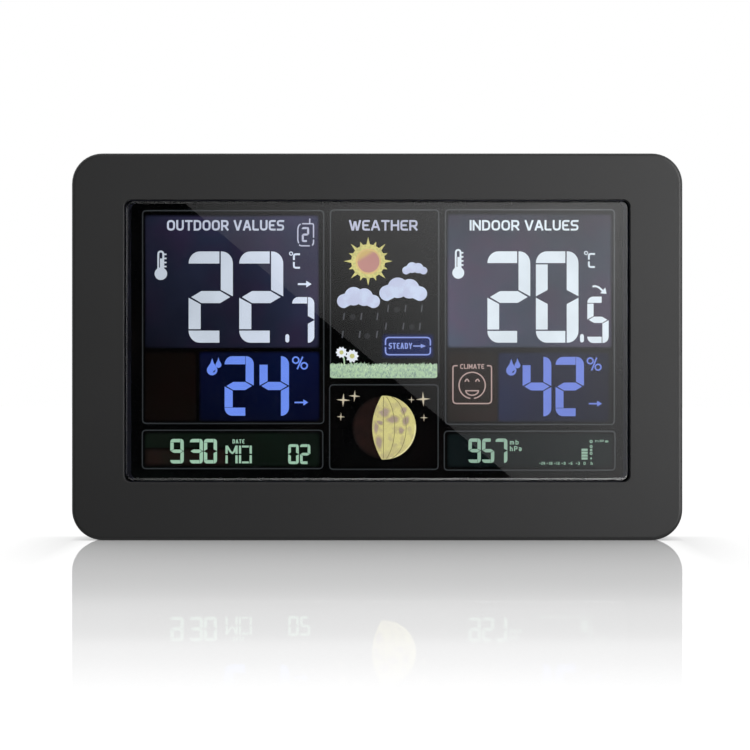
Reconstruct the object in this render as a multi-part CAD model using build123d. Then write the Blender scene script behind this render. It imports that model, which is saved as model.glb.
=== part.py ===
from build123d import *

import math
import os

# Home weather station: a flat upright display unit with a fold-down foot behind it.
#
# Frame: millimetres, +Z up. The front looks along -Y, X runs to the right as seen from the front.
# The origin lies on the table, under the middle of the anti-slip strip.
# Depths, named d below, are counted backwards from the bezel's front face.

# ---- driving dimensions -------------------------------------------------------------------------

FRONT_FACE_Y = -6.5

CASE_WIDTH = 200.0
CASE_HEIGHT = 126.7
CASE_RADIUS = 10.0
CASE_DEPTH = 26.0
STRIP_PROUD = 0.1
CASE_MID_Z = STRIP_PROUD + CASE_HEIGHT / 2
STRIP_SUNK = 0.8
STRIP_LENGTH = 178.0
STRIP_WIDTH = 6.0
FRONT_EDGE_RADIUS = 1.2
WALL = 2.4
FRONT_WALL = 2.2
PARTING = 11.0

WINDOW_WIDTH = 165.7
WINDOW_HEIGHT = 92.5
WINDOW_RADIUS = 2.4
WINDOW_MID_Z = 65.35
WINDOW_GAP = 0.25
WINDOW_RECESS = 0.6
WINDOW_EDGE_RADIUS = 1.1
OPENING_EDGE_RADIUS = 0.25
LENS_THICKNESS = 1.6

# depths of the display stack, front to back
MASK_FRONT = FRONT_WALL
MASK_REAR = 3.7
FRONT_POLARISER_REAR = 3.9
FRONT_GLASS_REAR = 5.0
REAR_GLASS_REAR = 6.1
REAR_POLARISER_REAR = 6.3
FILM_REAR = 6.6
DIFFUSER_REAR = 6.9
LIGHT_GUIDE_REAR = 9.9
REFLECTOR_REAR = 10.2
TRAY_REAR = 11.4

GLASS_WIDTH = 166.0
FRONT_GLASS_HEIGHT = 102.0
REAR_GLASS_HEIGHT = 96.0
LIGHT_GUIDE_WIDTH = 161.8
TRAY_WIDTH = 169.2
TRAY_HEIGHT = 104.8
MASK_OUTER_WIDTH = 171.0
MASK_OUTER_HEIGHT = 104.6
MASK_LEDGE = 0.9
MASK_SIDE_LIP = 2.1
MASK_END_LIP = 1.1

LED_BOARD_HALF_SPAN = 83.1
LED_BOARD_THICKNESS = 1.0
LED_THICKNESS = 1.0
LED_COUNT = 8
LED_PITCH = 11.0
LED_HALF_LENGTH = 1.4
LED_HALF_DEPTH = 0.7
ZEBRA_HALF_LENGTH = 75.0
ZEBRA_BOTTOM = 114.4
ZEBRA_TOP = 116.1

BOARD_FRONT = 14.0
BOARD_REAR = 15.6
BOARD_LEFT = -84.0
BOARD_RIGHT = 80.0
BOARD_BOTTOM = 62.0
BOARD_TOP = 116.5
RECEIVER_LEFT = 9.0
RECEIVER_RIGHT = 29.0
RECEIVER_BOTTOM = 103.0
RECEIVER_TOP = 113.0
RECEIVER_REAR = 17.0

HUMP_INSET = 5.0
HUMP_WALL = 2.0
FLANGE_REAR = 13.0
FLANGE_REVEAL = 0.6
INNER_REAR = CASE_DEPTH - HUMP_WALL

CASE_SCREW_X = 89.0
CASE_SCREW_ZS = (12.0, 64.0, 115.0)
TRAY_SCREW_X = 89.0
TRAY_SCREW_ZS = (38.0, 90.0)
BOARD_SCREW_X = 70.0
BOARD_SCREW_ZS = (70.0, 108.0)

BAY_LEFT = 33.0
BAY_RIGHT = 84.0
BAY_BOTTOM = 18.2
BAY_TOP = 51.8
BAY_FLOOR = 13.0
BAY_WALL = 2.0
CELL_RADIUS = 5.25
CELL_LENGTH = 43.3
CELL_NUB_RADIUS = 2.75
CELL_NUB_LENGTH = 1.2
CELL_DEPTH = 18.5
CELL_ZS = (24.0, 35.0, 46.0)
CONTACT_THICKNESS = 0.4
SPRING_RADIUS = 3.4
SPRING_WIRE_RADIUS = 0.25
SPRING_TURNS = 4

DOOR_LEFT = 31.4
DOOR_RIGHT = 85.4
DOOR_BOTTOM = 16.6
DOOR_TOP = 53.4
DOOR_GAP = 0.3
DOOR_FRONT = 24.1
DOOR_REAR = 25.9
DOOR_TAB_ZS = (25.0, 45.0)
DOOR_TAB_WIDTH = 6.0
DOOR_TAB_REACH = 1.8
DOOR_TAB_THICKNESS = 0.9

STAND_HALF_WIDTH = 26.0
STAND_LENGTH = 44.0
STAND_THICKNESS = 3.0
STAND_AXIS_DEPTH = 23.4
STAND_AXIS_Z = 8.0
STAND_KNUCKLE_RADIUS = 2.5
STAND_DROP_DEG = 8.24
STAND_PIN_RADIUS = 1.0
STAND_PIN_CLEARANCE = 0.05
STAND_PIN_IN_FOOT = 4.5
STAND_PIN_IN_BOSS = 5.0
STAND_RECESS_HALF_WIDTH = 27.0
STAND_RECESS_TOP = 53.0
STAND_RECESS_DEPTH = 21.4
STAND_KNUCKLE_RECESS_DEPTH = 20.4
STAND_PAD_FROM = 36.0
STAND_PAD_TO = 42.0
STAND_PAD_HALF_WIDTH = 20.0
STAND_PAD_SEAT = 0.3

KEYHOLE_X = 38.0
KEYHOLE_Z = 100.0
KEYHOLE_RADIUS = 4.5
KEYHOLE_SLOT_RADIUS = 2.2
KEYHOLE_SLOT_TOP = 108.0
KEYHOLE_POCKET_FRONT = 19.5
KEYHOLE_POCKET_WALL = 1.2

BUTTON_NAMES = ("set_button", "mode_button", "alarm_button", "history_button", "up_button", "down_button")
BUTTON_PITCH = 25.0
BUTTON_Z = 78.0
BUTTON_WIDTH = 12.8
BUTTON_HEIGHT = 6.8
BUTTON_GAP = 0.3
BUTTON_PROUD = 0.8
BUTTON_TRAVEL = 0.5
SWITCH_SIDE = 6.0
SWITCH_BODY_REAR = 19.1
SWITCH_PLUNGER_REAR = 19.9
SWITCH_PLUNGER_RADIUS = 1.75
TOP_SWITCH_BOTTOM = 108.4
TOP_SWITCH_TOP = 112.4
TOP_PLUNGER_TOP = 114.2
TOP_PLUNGER_DEPTH = 17.6
TOP_PLUNGER_RADIUS = 1.3

LIGHT_BAR_HALF_WIDTH = 31.7
LIGHT_BAR_FRONT = 15.8
LIGHT_BAR_REAR = 21.2
LIGHT_BAR_TOP = 123.3
LIGHT_BAR_TRAVEL = 1.0
LIGHT_BAR_GAP = 0.3

KNOB_X = -68.25
KNOB_Z = 92.0
KNOB_TRAVEL = 5.0
KNOB_HALF_WIDTH = 2.25

VENT_ZS = (96.0, 99.4, 102.8, 106.2, 109.6)
VENT_LEFT = 50.0
VENT_RIGHT = 78.0
VENT_HEIGHT = 1.6

BUZZER_X = -60.0
BUZZER_Z = 35.0
BUZZER_RADIUS = 6.5

JACK_Z = 90.0
JACK_DEPTH = 19.6
JACK_OUTER_X = -92.8
JACK_INNER_X = -78.5
JACK_BORE_RADIUS = 3.0
JACK_BORE_LENGTH = 9.5
JACK_PIN_RADIUS = 1.0
JACK_PIN_ROOT = 2.0
JACK_HOLE_RADIUS = 3.5

# ---- building blocks ----------------------------------------------------------------------------


def y_at(depth):
    """The Y coordinate of a depth behind the bezel's front face."""
    return FRONT_FACE_Y + depth


def block(x0, x1, d0, d1, z0, z1):
    """A box between two X values, two depths and two heights."""
    middle = Pos((x0 + x1) / 2, y_at((d0 + d1) / 2), (z0 + z1) / 2)
    return middle * Box(x1 - x0, d1 - d0, z1 - z0)


def standing_plane(depth, x=0.0, z=0.0):
    """A plane facing the front, at the given depth: its own axes are X and Z."""
    return Plane(origin=(x, y_at(depth), z), x_dir=(1, 0, 0), z_dir=(0, -1, 0))


def slab(width, height, radius, d0, d1, x=0.0, z=WINDOW_MID_Z):
    """A standing plate with rounded corners, between two depths."""
    return extrude(standing_plane(d1, x, z) * RectangleRounded(width, height, radius), d1 - d0)


def rod_y(x, z, radius, d0, d1):
    """A round rod along the depth."""
    return extrude(standing_plane(d1, x, z) * Circle(radius), d1 - d0)


def rod_x(depth, z, radius, x0, x1):
    """A round rod along X."""
    plane = Plane(origin=(x0, y_at(depth), z), x_dir=(0, 1, 0), z_dir=(1, 0, 0))
    return extrude(plane * Circle(radius), x1 - x0)


def rod_z(x, depth, radius, z0, z1):
    """A round rod along Z."""
    return extrude(Plane(origin=(x, y_at(depth), z0)) * Circle(radius), z1 - z0)


def both_sides(x):
    return (-x, x)


def ring_of_points(x, z, radius, count):
    """Points evenly spaced on a circle in the XZ plane."""
    turn = 2 * math.pi / count
    return [(x + radius * math.cos(i * turn), z + radius * math.sin(i * turn)) for i in range(count)]


def case_screw_places():
    return [(x, z) for x in both_sides(CASE_SCREW_X) for z in CASE_SCREW_ZS]


def tray_screw_places():
    return [(x, z) for x in both_sides(TRAY_SCREW_X) for z in TRAY_SCREW_ZS]


def board_screw_places():
    return [(x, z) for x in both_sides(BOARD_SCREW_X) for z in BOARD_SCREW_ZS]


def button_xs():
    first = -BUTTON_PITCH * (len(BUTTON_NAMES) - 1) / 2
    return [first + i * BUTTON_PITCH for i in range(len(BUTTON_NAMES))]


def wire(points, radius, bend):
    """A round wire along straight runs joined by arcs; points are (x, depth, z)."""
    corners = [Vector(x, y_at(depth), z) for x, depth, z in points]
    path = FilletPolyline(*corners, radius=bend)
    profile = Plane(origin=path @ 0, z_dir=path % 0) * Circle(radius)
    return sweep(profile, path=path)


# ---- case ---------------------------------------------------------------------------------------


def front_frame():
    post_radius = 3.2
    post_bore = 1.4
    post_bore_front = 3.4
    tray_post_radius = 2.5
    tray_post_bore = 1.15
    tray_post_bore_front = 3.2
    tray_ear_front = TRAY_REAR - 2.0
    cavity_width = CASE_WIDTH - 2 * WALL
    cavity_height = CASE_HEIGHT - 2 * WALL

    shell = slab(CASE_WIDTH, CASE_HEIGHT, CASE_RADIUS, 0, PARTING, z=CASE_MID_Z)
    front_face = shell.faces().sort_by(Axis.Y)[0]
    shell = fillet(front_face.edges(), FRONT_EDGE_RADIUS)
    shell -= slab(cavity_width, cavity_height, CASE_RADIUS - WALL, FRONT_WALL, PARTING, z=CASE_MID_Z)
    shell -= slab(WINDOW_WIDTH, WINDOW_HEIGHT, WINDOW_RADIUS, 0, FRONT_WALL)
    opening = shell.faces().sort_by(Axis.Y)[0].inner_wires()[0]
    shell = fillet(opening.edges(), OPENING_EDGE_RADIUS)
    shell -= strip_pocket()
    for x, z in case_screw_places():
        shell += rod_y(x, z, post_radius, FRONT_WALL, PARTING)
        shell -= rod_y(x, z, post_bore, post_bore_front, PARTING)
    for x, z in tray_screw_places():
        shell += rod_y(x, z, tray_post_radius, FRONT_WALL, tray_ear_front)
        shell -= rod_y(x, z, tray_post_bore, tray_post_bore_front, tray_ear_front)
    return shell


def strip_outline(length, width, z0, z1):
    """A long pad with round ends, lying flat under the front frame."""
    return extrude(Plane(origin=(0, 0, z0)) * SlotOverall(length, width), z1 - z0)


def strip_pocket():
    pocket_gap = 0.2
    top = STRIP_PROUD + STRIP_SUNK
    return strip_outline(STRIP_LENGTH + pocket_gap, STRIP_WIDTH + pocket_gap, STRIP_PROUD, top)


def rubber_foot_strip():
    return strip_outline(STRIP_LENGTH, STRIP_WIDTH, 0, STRIP_PROUD + STRIP_SUNK)


def display_window():
    """A thick clear plate with a rounded front edge."""
    width = WINDOW_WIDTH - 2 * WINDOW_GAP
    height = WINDOW_HEIGHT - 2 * WINDOW_GAP
    radius = WINDOW_RADIUS - WINDOW_GAP
    lens = slab(width, height, radius, WINDOW_RECESS, WINDOW_RECESS + LENS_THICKNESS)
    front_edges = lens.faces().sort_by(Axis.Y)[0].edges()
    return fillet(front_edges, WINDOW_EDGE_RADIUS)


def display_mask():
    """A flat frame whose opening narrows towards the display."""
    corner = 2.0
    front_opening = standing_plane(MASK_FRONT, z=WINDOW_MID_Z) * RectangleRounded(
        WINDOW_WIDTH - 2 * MASK_LEDGE, WINDOW_HEIGHT - 2 * MASK_LEDGE, corner)
    rear_opening = standing_plane(MASK_REAR, z=WINDOW_MID_Z) * RectangleRounded(
        WINDOW_WIDTH - 2 * MASK_SIDE_LIP, WINDOW_HEIGHT - 2 * MASK_END_LIP, corner)
    plate = slab(MASK_OUTER_WIDTH, MASK_OUTER_HEIGHT, corner, MASK_FRONT, MASK_REAR)
    return plate - loft([front_opening.face(), rear_opening.face()])


def rear_shell():
    """The raised box with its flange and the tongue that enters the front frame."""
    edge_radius = 3.0
    tongue_front = PARTING - 2.0
    tongue_gap = 0.1
    tongue_thickness = 1.4
    hump_width = CASE_WIDTH - 2 * HUMP_INSET
    hump_height = CASE_HEIGHT - 2 * HUMP_INSET
    hump_radius = CASE_RADIUS - 1.0
    tongue_width = CASE_WIDTH - 2 * WALL - 2 * tongue_gap
    tongue_height = CASE_HEIGHT - 2 * WALL - 2 * tongue_gap
    tongue_radius = CASE_RADIUS - WALL - tongue_gap

    hump = slab(hump_width, hump_height, hump_radius, FLANGE_REAR, CASE_DEPTH, z=CASE_MID_Z)
    hump = fillet(hump.faces().sort_by(Axis.Y)[-1].edges(), edge_radius)
    flange = slab(
        CASE_WIDTH - 2 * FLANGE_REVEAL, CASE_HEIGHT - 2 * FLANGE_REVEAL, CASE_RADIUS - FLANGE_REVEAL,
        PARTING, FLANGE_REAR, z=CASE_MID_Z)
    tongue = slab(tongue_width, tongue_height, tongue_radius, tongue_front, PARTING, z=CASE_MID_Z)
    tongue -= slab(
        tongue_width - 2 * tongue_thickness, tongue_height - 2 * tongue_thickness,
        tongue_radius - tongue_thickness, tongue_front, PARTING, z=CASE_MID_Z)
    cavity = slab(
        hump_width - 2 * HUMP_WALL, hump_height - 2 * HUMP_WALL, hump_radius - HUMP_WALL,
        PARTING, INNER_REAR, z=CASE_MID_Z)
    return hump + flange + tongue - cavity


def screw_wells(cover):
    """Deep wells for the case screws, with a floor at the flange."""
    outer_radius = 4.2
    well_radius = 3.0
    shank_clearance_radius = 1.6
    for x, z in case_screw_places():
        cover += rod_y(x, z, outer_radius, PARTING, INNER_REAR)
        cover -= rod_y(x, z, well_radius, FLANGE_REAR, CASE_DEPTH)
        cover -= rod_y(x, z, shank_clearance_radius, PARTING, FLANGE_REAR)
    return cover


def battery_bay(cover):
    """The bay for three cells, the lid's opening and the notches for its tabs."""
    floor_thickness = 1.2
    slot_play = 0.1
    notch_depth = DOOR_REAR - 2.7
    notch_skin = 0.8
    notch_play = 0.3
    cover += block(
        BAY_LEFT - BAY_WALL, BAY_RIGHT + BAY_WALL, BAY_FLOOR - floor_thickness, INNER_REAR,
        BAY_BOTTOM - BAY_WALL, BAY_TOP + BAY_WALL)
    cover -= block(BAY_LEFT, BAY_RIGHT, BAY_FLOOR, INNER_REAR, BAY_BOTTOM, BAY_TOP)
    cover -= block(
        DOOR_LEFT - DOOR_GAP, DOOR_RIGHT + DOOR_GAP, INNER_REAR, CASE_DEPTH,
        DOOR_BOTTOM - DOOR_GAP, DOOR_TOP + DOOR_GAP)
    for z in DOOR_TAB_ZS:
        half = DOOR_TAB_WIDTH / 2 + notch_play
        cover -= block(
            DOOR_LEFT - DOOR_TAB_REACH - notch_play, BAY_LEFT, notch_depth, CASE_DEPTH - notch_skin,
            z - half, z + half)
    for lug in contact_lugs(slot_play):
        cover -= lug
    return cover


def stand_recess(cover):
    """The pocket that takes the folded foot, with a boss each side for the hinge pins."""
    recess_wall = 2.0
    floor_thickness = 1.8
    boss_width = 4.5
    boss_top = STAND_AXIS_Z + 4.5
    pin_fit = 0.02
    hump_bottom = STRIP_PROUD + HUMP_INSET
    outer_half = STAND_RECESS_HALF_WIDTH + recess_wall
    floor_depth = STAND_KNUCKLE_RECESS_DEPTH - floor_thickness
    knuckle_top = STAND_AXIS_Z + STAND_KNUCKLE_RADIUS + 1.5
    below = hump_bottom - 1.0
    above = hump_bottom + 1.0

    cover += block(
        -outer_half, outer_half, floor_depth, INNER_REAR, above, STAND_RECESS_TOP + recess_wall)
    for side in both_sides(1):
        inner = side * STAND_RECESS_HALF_WIDTH
        outer = side * (outer_half + boss_width)
        cover += block(
            min(inner, outer), max(inner, outer), floor_depth, INNER_REAR, above, boss_top)
    half = STAND_RECESS_HALF_WIDTH
    cover -= block(-half, half, STAND_RECESS_DEPTH, CASE_DEPTH, below, STAND_RECESS_TOP)
    cover -= block(-half, half, STAND_KNUCKLE_RECESS_DEPTH, CASE_DEPTH, below, knuckle_top)
    for pin in stand_pin_rods(STAND_PIN_RADIUS + pin_fit):
        cover -= pin
    return cover


def keyhole_pockets(cover):
    """Two closed pockets for screw heads, each behind a round entry with a slot above it."""
    half_width = KEYHOLE_RADIUS + 1.0
    bottom = KEYHOLE_Z - KEYHOLE_RADIUS - 1.0
    top = KEYHOLE_SLOT_TOP + KEYHOLE_RADIUS
    wall = KEYHOLE_POCKET_WALL
    for x in both_sides(KEYHOLE_X):
        cover += block(
            x - half_width - wall, x + half_width + wall, KEYHOLE_POCKET_FRONT - wall, INNER_REAR,
            bottom - wall, top + wall)
        cover -= block(x - half_width, x + half_width, KEYHOLE_POCKET_FRONT, INNER_REAR, bottom, top)
        cover -= rod_y(x, KEYHOLE_Z, KEYHOLE_RADIUS, INNER_REAR, CASE_DEPTH)
        cover -= rod_y(x, KEYHOLE_SLOT_TOP, KEYHOLE_SLOT_RADIUS, INNER_REAR, CASE_DEPTH)
        cover -= block(
            x - KEYHOLE_SLOT_RADIUS, x + KEYHOLE_SLOT_RADIUS, INNER_REAR, CASE_DEPTH,
            KEYHOLE_Z, KEYHOLE_SLOT_TOP)
    return cover


def button_openings(cover):
    """Openings for the six keys, the light bar and the slide switch's knob."""
    slot_half_height = 2.2
    slot_play = 0.5
    for x in button_xs():
        cover -= slab(
            BUTTON_WIDTH + 2 * BUTTON_GAP, BUTTON_HEIGHT + 2 * BUTTON_GAP, BUTTON_HEIGHT / 2,
            INNER_REAR, CASE_DEPTH, x=x, z=BUTTON_Z)
    half = LIGHT_BAR_HALF_WIDTH + LIGHT_BAR_GAP
    cover -= block(
        -half, half, LIGHT_BAR_FRONT - LIGHT_BAR_GAP, LIGHT_BAR_REAR + LIGHT_BAR_GAP,
        CASE_MID_Z + CASE_HEIGHT / 2 - HUMP_INSET - HUMP_WALL, LIGHT_BAR_TOP)
    cover -= block(
        KNOB_X - KNOB_HALF_WIDTH - slot_play, KNOB_X + KNOB_HALF_WIDTH + KNOB_TRAVEL + slot_play,
        INNER_REAR, CASE_DEPTH, KNOB_Z - slot_half_height, KNOB_Z + slot_half_height)
    return cover


def vents_and_sound_holes(cover):
    """Vent slots by the indoor sensor, and sound holes with a retaining ring for the buzzer."""
    hole_radius = 0.9
    hole_circle = 3.8
    ring_inner = BUZZER_RADIUS + 0.2
    ring_outer = BUZZER_RADIUS + 1.4
    ring_front = 20.0
    slot_length = VENT_RIGHT - VENT_LEFT
    for z in VENT_ZS:
        cover -= slab(
            slot_length, VENT_HEIGHT, VENT_HEIGHT / 2 - 0.01, INNER_REAR, CASE_DEPTH,
            x=(VENT_LEFT + VENT_RIGHT) / 2, z=z)
    cover += rod_y(BUZZER_X, BUZZER_Z, ring_outer, ring_front, INNER_REAR)
    cover -= rod_y(BUZZER_X, BUZZER_Z, ring_inner, ring_front, INNER_REAR)
    places = [(BUZZER_X, BUZZER_Z)] + ring_of_points(BUZZER_X, BUZZER_Z, hole_circle, 6)
    for x, z in places:
        cover -= rod_y(x, z, hole_radius, INNER_REAR, CASE_DEPTH)
    return cover


def rear_cover():
    cover = rear_shell()
    cover = screw_wells(cover)
    cover = battery_bay(cover)
    cover = stand_recess(cover)
    cover = keyhole_pockets(cover)
    cover = button_openings(cover)
    cover = vents_and_sound_holes(cover)
    half_width = CASE_WIDTH / 2 - HUMP_INSET
    cover -= rod_x(JACK_DEPTH, JACK_Z, JACK_HOLE_RADIUS, -half_width, -half_width + HUMP_WALL)
    return cover


def battery_door():
    """A flat lid with two tabs on its left edge and a finger hollow near the right edge."""
    corner_chamfer = 0.4
    hollow_radius = 9.0
    hollow_sunk = 0.8
    door = block(DOOR_LEFT, DOOR_RIGHT, DOOR_FRONT, DOOR_REAR, DOOR_BOTTOM, DOOR_TOP)
    door = chamfer(door.faces().sort_by(Axis.Y)[-1].edges(), corner_chamfer)
    middle_z = (DOOR_BOTTOM + DOOR_TOP) / 2
    hollow = rod_y(DOOR_RIGHT, middle_z, hollow_radius, DOOR_REAR - hollow_sunk, DOOR_REAR)
    door -= hollow
    for z in DOOR_TAB_ZS:
        door += block(
            DOOR_LEFT - DOOR_TAB_REACH, DOOR_LEFT, DOOR_FRONT, DOOR_FRONT + DOOR_TAB_THICKNESS,
            z - DOOR_TAB_WIDTH / 2, z + DOOR_TAB_WIDTH / 2)
    return door


def screw(x, z, seat, head_radius, head_height, shank_radius, shank_length):
    """A pan-head screw driven from behind, with a cross slot in its head."""
    slot_half = 0.35
    slot_depth = head_height * 0.6
    reach = head_radius * 0.6
    head_end = seat + head_height
    slot_floor = head_end - slot_depth
    body = rod_y(x, z, head_radius, seat, head_end)
    body = fillet(body.edges().sort_by(Axis.Y)[-1], head_height * 0.4)
    body += rod_y(x, z, shank_radius, seat - shank_length, seat)
    body -= block(x - reach, x + reach, slot_floor, head_end, z - slot_half, z + slot_half)
    body -= block(x - slot_half, x + slot_half, slot_floor, head_end, z - reach, z + reach)
    return body


def screw_group(places, **dimensions):
    return Compound(children=[screw(x, z, **dimensions) for x, z in places])


def case_screws():
    return screw_group(
        case_screw_places(), seat=FLANGE_REAR, head_radius=2.75, head_height=2.0,
        shank_radius=1.35, shank_length=9.0)


def tray_screws():
    return screw_group(
        tray_screw_places(), seat=TRAY_REAR, head_radius=2.2, head_height=1.4,
        shank_radius=1.1, shank_length=7.0)


def board_screws():
    return screw_group(
        board_screw_places(), seat=BOARD_REAR, head_radius=1.9, head_height=1.3,
        shank_radius=0.85, shank_length=4.5)


# ---- fold-down foot -----------------------------------------------------------------------------


def stand_plane():
    """The foot's own plane when it is open: Y runs out towards the tip, Z is its upper side."""
    drop = math.radians(STAND_DROP_DEG)
    return Plane(
        origin=(0, y_at(STAND_AXIS_DEPTH), STAND_AXIS_Z), x_dir=(1, 0, 0),
        z_dir=(0, math.sin(drop), math.cos(drop)))


def stand_pin_rods(radius):
    """Two rods on the hinge axis, from the cover's bosses into the foot."""
    inner = STAND_HALF_WIDTH - STAND_PIN_IN_FOOT
    outer = STAND_RECESS_HALF_WIDTH + STAND_PIN_IN_BOSS
    left = rod_x(STAND_AXIS_DEPTH, STAND_AXIS_Z, radius, -outer, -inner)
    right = rod_x(STAND_AXIS_DEPTH, STAND_AXIS_Z, radius, inner, outer)
    return [left, right]


def stand_foot():
    tip_radius = 6.0
    bore_depth = STAND_PIN_IN_FOOT + 0.5
    notch_radius = 5.0
    rib_xs = (-12.0, 0.0, 12.0)
    rib_width = 1.2
    rib_length = 26.0
    rib_height = 0.35
    rib_middle = 18.5
    half = STAND_THICKNESS / 2
    width = 2 * STAND_HALF_WIDTH
    outline = Pos(0, STAND_LENGTH / 2) * Rectangle(width, STAND_LENGTH)
    outline = fillet(outline.vertices().group_by(Axis.Y)[-1], tip_radius)
    outline -= Pos(0, STAND_LENGTH) * Circle(notch_radius)
    plate = Pos(0, 0, -half) * extrude(outline, STAND_THICKNESS)
    knuckle = Pos(-STAND_HALF_WIDTH, 0, 0) * Rot(0, 90, 0) * Cylinder(
        STAND_KNUCKLE_RADIUS, width, align=(Align.CENTER, Align.CENTER, Align.MIN))
    plate += knuckle
    for x in rib_xs:
        plate += Pos(x, rib_middle, half + rib_height / 2) * Box(rib_width, rib_length, rib_height)
    pad_middle = (STAND_PAD_FROM + STAND_PAD_TO) / 2
    pad_length = STAND_PAD_TO - STAND_PAD_FROM
    plate -= Pos(0, pad_middle, -half) * Box(2 * STAND_PAD_HALF_WIDTH, pad_length, 2 * STAND_PAD_SEAT)
    bore_radius = STAND_PIN_RADIUS + STAND_PIN_CLEARANCE
    for side in both_sides(STAND_HALF_WIDTH - bore_depth / 2):
        plate -= Pos(side, 0, 0) * Rot(0, 90, 0) * Cylinder(bore_radius, bore_depth)
    return stand_plane() * plate


def stand_foot_pad():
    """A wedge of rubber whose sole lies flat on the table when the foot is open."""
    drop = math.radians(STAND_DROP_DEG)
    top = -STAND_THICKNESS / 2 + STAND_PAD_SEAT

    def sole(reach):
        """How far below the foot's middle plane the table is, at a distance from the hinge."""
        return (reach * math.sin(drop) - STAND_AXIS_Z) / math.cos(drop)

    corners = [
        (STAND_PAD_FROM, top), (STAND_PAD_TO, top),
        (STAND_PAD_TO, sole(STAND_PAD_TO)), (STAND_PAD_FROM, sole(STAND_PAD_FROM))]
    side = Plane(origin=(-STAND_PAD_HALF_WIDTH, 0, 0), x_dir=(0, 1, 0), z_dir=(1, 0, 0))
    wedge = extrude(side * make_face(Polyline(*corners, close=True)), 2 * STAND_PAD_HALF_WIDTH)
    return stand_plane() * wedge


def stand_hinge_pins():
    return Compound(children=stand_pin_rods(STAND_PIN_RADIUS))


# ---- display stack ------------------------------------------------------------------------------


def sheet(width, height, d0, d1):
    """A square-cut sheet of the display stack."""
    return block(-width / 2, width / 2, d0, d1, WINDOW_MID_Z - height / 2, WINDOW_MID_Z + height / 2)


def front_polariser():
    overlap = 1.0
    width = WINDOW_WIDTH - 2 * MASK_SIDE_LIP + 2 * overlap
    height = WINDOW_HEIGHT - 2 * MASK_END_LIP + 2 * overlap
    return sheet(width, height, MASK_REAR, FRONT_POLARISER_REAR)


def lcd_front_glass():
    return sheet(GLASS_WIDTH, FRONT_GLASS_HEIGHT, FRONT_POLARISER_REAR, FRONT_GLASS_REAR)


def lcd_rear_glass():
    return sheet(GLASS_WIDTH, REAR_GLASS_HEIGHT, FRONT_GLASS_REAR, REAR_GLASS_REAR)


def rear_polariser():
    return sheet(GLASS_WIDTH, REAR_GLASS_HEIGHT, REAR_GLASS_REAR, REAR_POLARISER_REAR)


def colour_film():
    return sheet(GLASS_WIDTH, REAR_GLASS_HEIGHT, REAR_POLARISER_REAR, FILM_REAR)


def diffuser_sheet():
    return sheet(GLASS_WIDTH, REAR_GLASS_HEIGHT, FILM_REAR, DIFFUSER_REAR)


def light_guide():
    return sheet(LIGHT_GUIDE_WIDTH, REAR_GLASS_HEIGHT, DIFFUSER_REAR, LIGHT_GUIDE_REAR)


def reflector_sheet():
    return sheet(LIGHT_GUIDE_WIDTH, REAR_GLASS_HEIGHT, LIGHT_GUIDE_REAR, REFLECTOR_REAR)


def led_boards():
    board_half_height = 45.0
    pieces = []
    for side in both_sides(1):
        inner = side * (LED_BOARD_HALF_SPAN - LED_BOARD_THICKNESS)
        outer = side * LED_BOARD_HALF_SPAN
        pieces.append(block(
            min(inner, outer), max(inner, outer), DIFFUSER_REAR, REFLECTOR_REAR,
            WINDOW_MID_Z - board_half_height, WINDOW_MID_Z + board_half_height))
    return Compound(children=pieces)


def backlight_leds():
    middle_depth = (DIFFUSER_REAR + LIGHT_GUIDE_REAR) / 2
    first = WINDOW_MID_Z - LED_PITCH * (LED_COUNT - 1) / 2
    outer = LED_BOARD_HALF_SPAN - LED_BOARD_THICKNESS
    pieces = []
    for side in both_sides(1):
        ends = sorted((side * outer, side * (outer - LED_THICKNESS)))
        for i in range(LED_COUNT):
            z = first + i * LED_PITCH
            pieces.append(block(
                ends[0], ends[1], middle_depth - LED_HALF_DEPTH, middle_depth + LED_HALF_DEPTH,
                z - LED_HALF_LENGTH, z + LED_HALF_LENGTH))
    return Compound(children=pieces)


def backlight_tray():
    """The tray that holds the glass and the light guide, with ears for its screws and board pillars."""
    play = 0.2
    slot_play = 0.1
    corner = 1.5
    ear_radius = 3.0
    ear_front = TRAY_REAR - 2.0
    ear_hole = 1.3
    ear_overlap = 0.8
    pillar_radius = 2.5
    pillar_bore = 0.9
    pillar_bore_front = 10.9
    tray = slab(TRAY_WIDTH, TRAY_HEIGHT, corner, MASK_REAR, TRAY_REAR)
    tray -= sheet(GLASS_WIDTH + 2 * play, FRONT_GLASS_HEIGHT + 2 * play, MASK_REAR, FRONT_GLASS_REAR)
    tray -= sheet(GLASS_WIDTH + 2 * play, REAR_GLASS_HEIGHT + 2 * play, FRONT_GLASS_REAR, REFLECTOR_REAR)
    tray -= block(
        -ZEBRA_HALF_LENGTH - play, ZEBRA_HALF_LENGTH + play, MASK_REAR, TRAY_REAR,
        ZEBRA_BOTTOM - slot_play, ZEBRA_TOP + slot_play)
    for x, z in tray_screw_places():
        tray += rod_y(x, z, ear_radius, ear_front, TRAY_REAR)
        low, high = sorted((x, math.copysign(TRAY_WIDTH / 2 - ear_overlap, x)))
        tray += block(low, high, ear_front, TRAY_REAR, z - ear_radius, z + ear_radius)
        tray -= rod_y(x, z, ear_hole, ear_front, TRAY_REAR)
    for x, z in board_screw_places():
        tray += rod_y(x, z, pillar_radius, TRAY_REAR, BOARD_FRONT)
        tray -= rod_y(x, z, pillar_bore, pillar_bore_front, BOARD_FRONT)
    return tray


def zebra_strip():
    return block(
        -ZEBRA_HALF_LENGTH, ZEBRA_HALF_LENGTH, FRONT_GLASS_REAR, BOARD_FRONT, ZEBRA_BOTTOM, ZEBRA_TOP)


# ---- electronics --------------------------------------------------------------------------------


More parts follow.
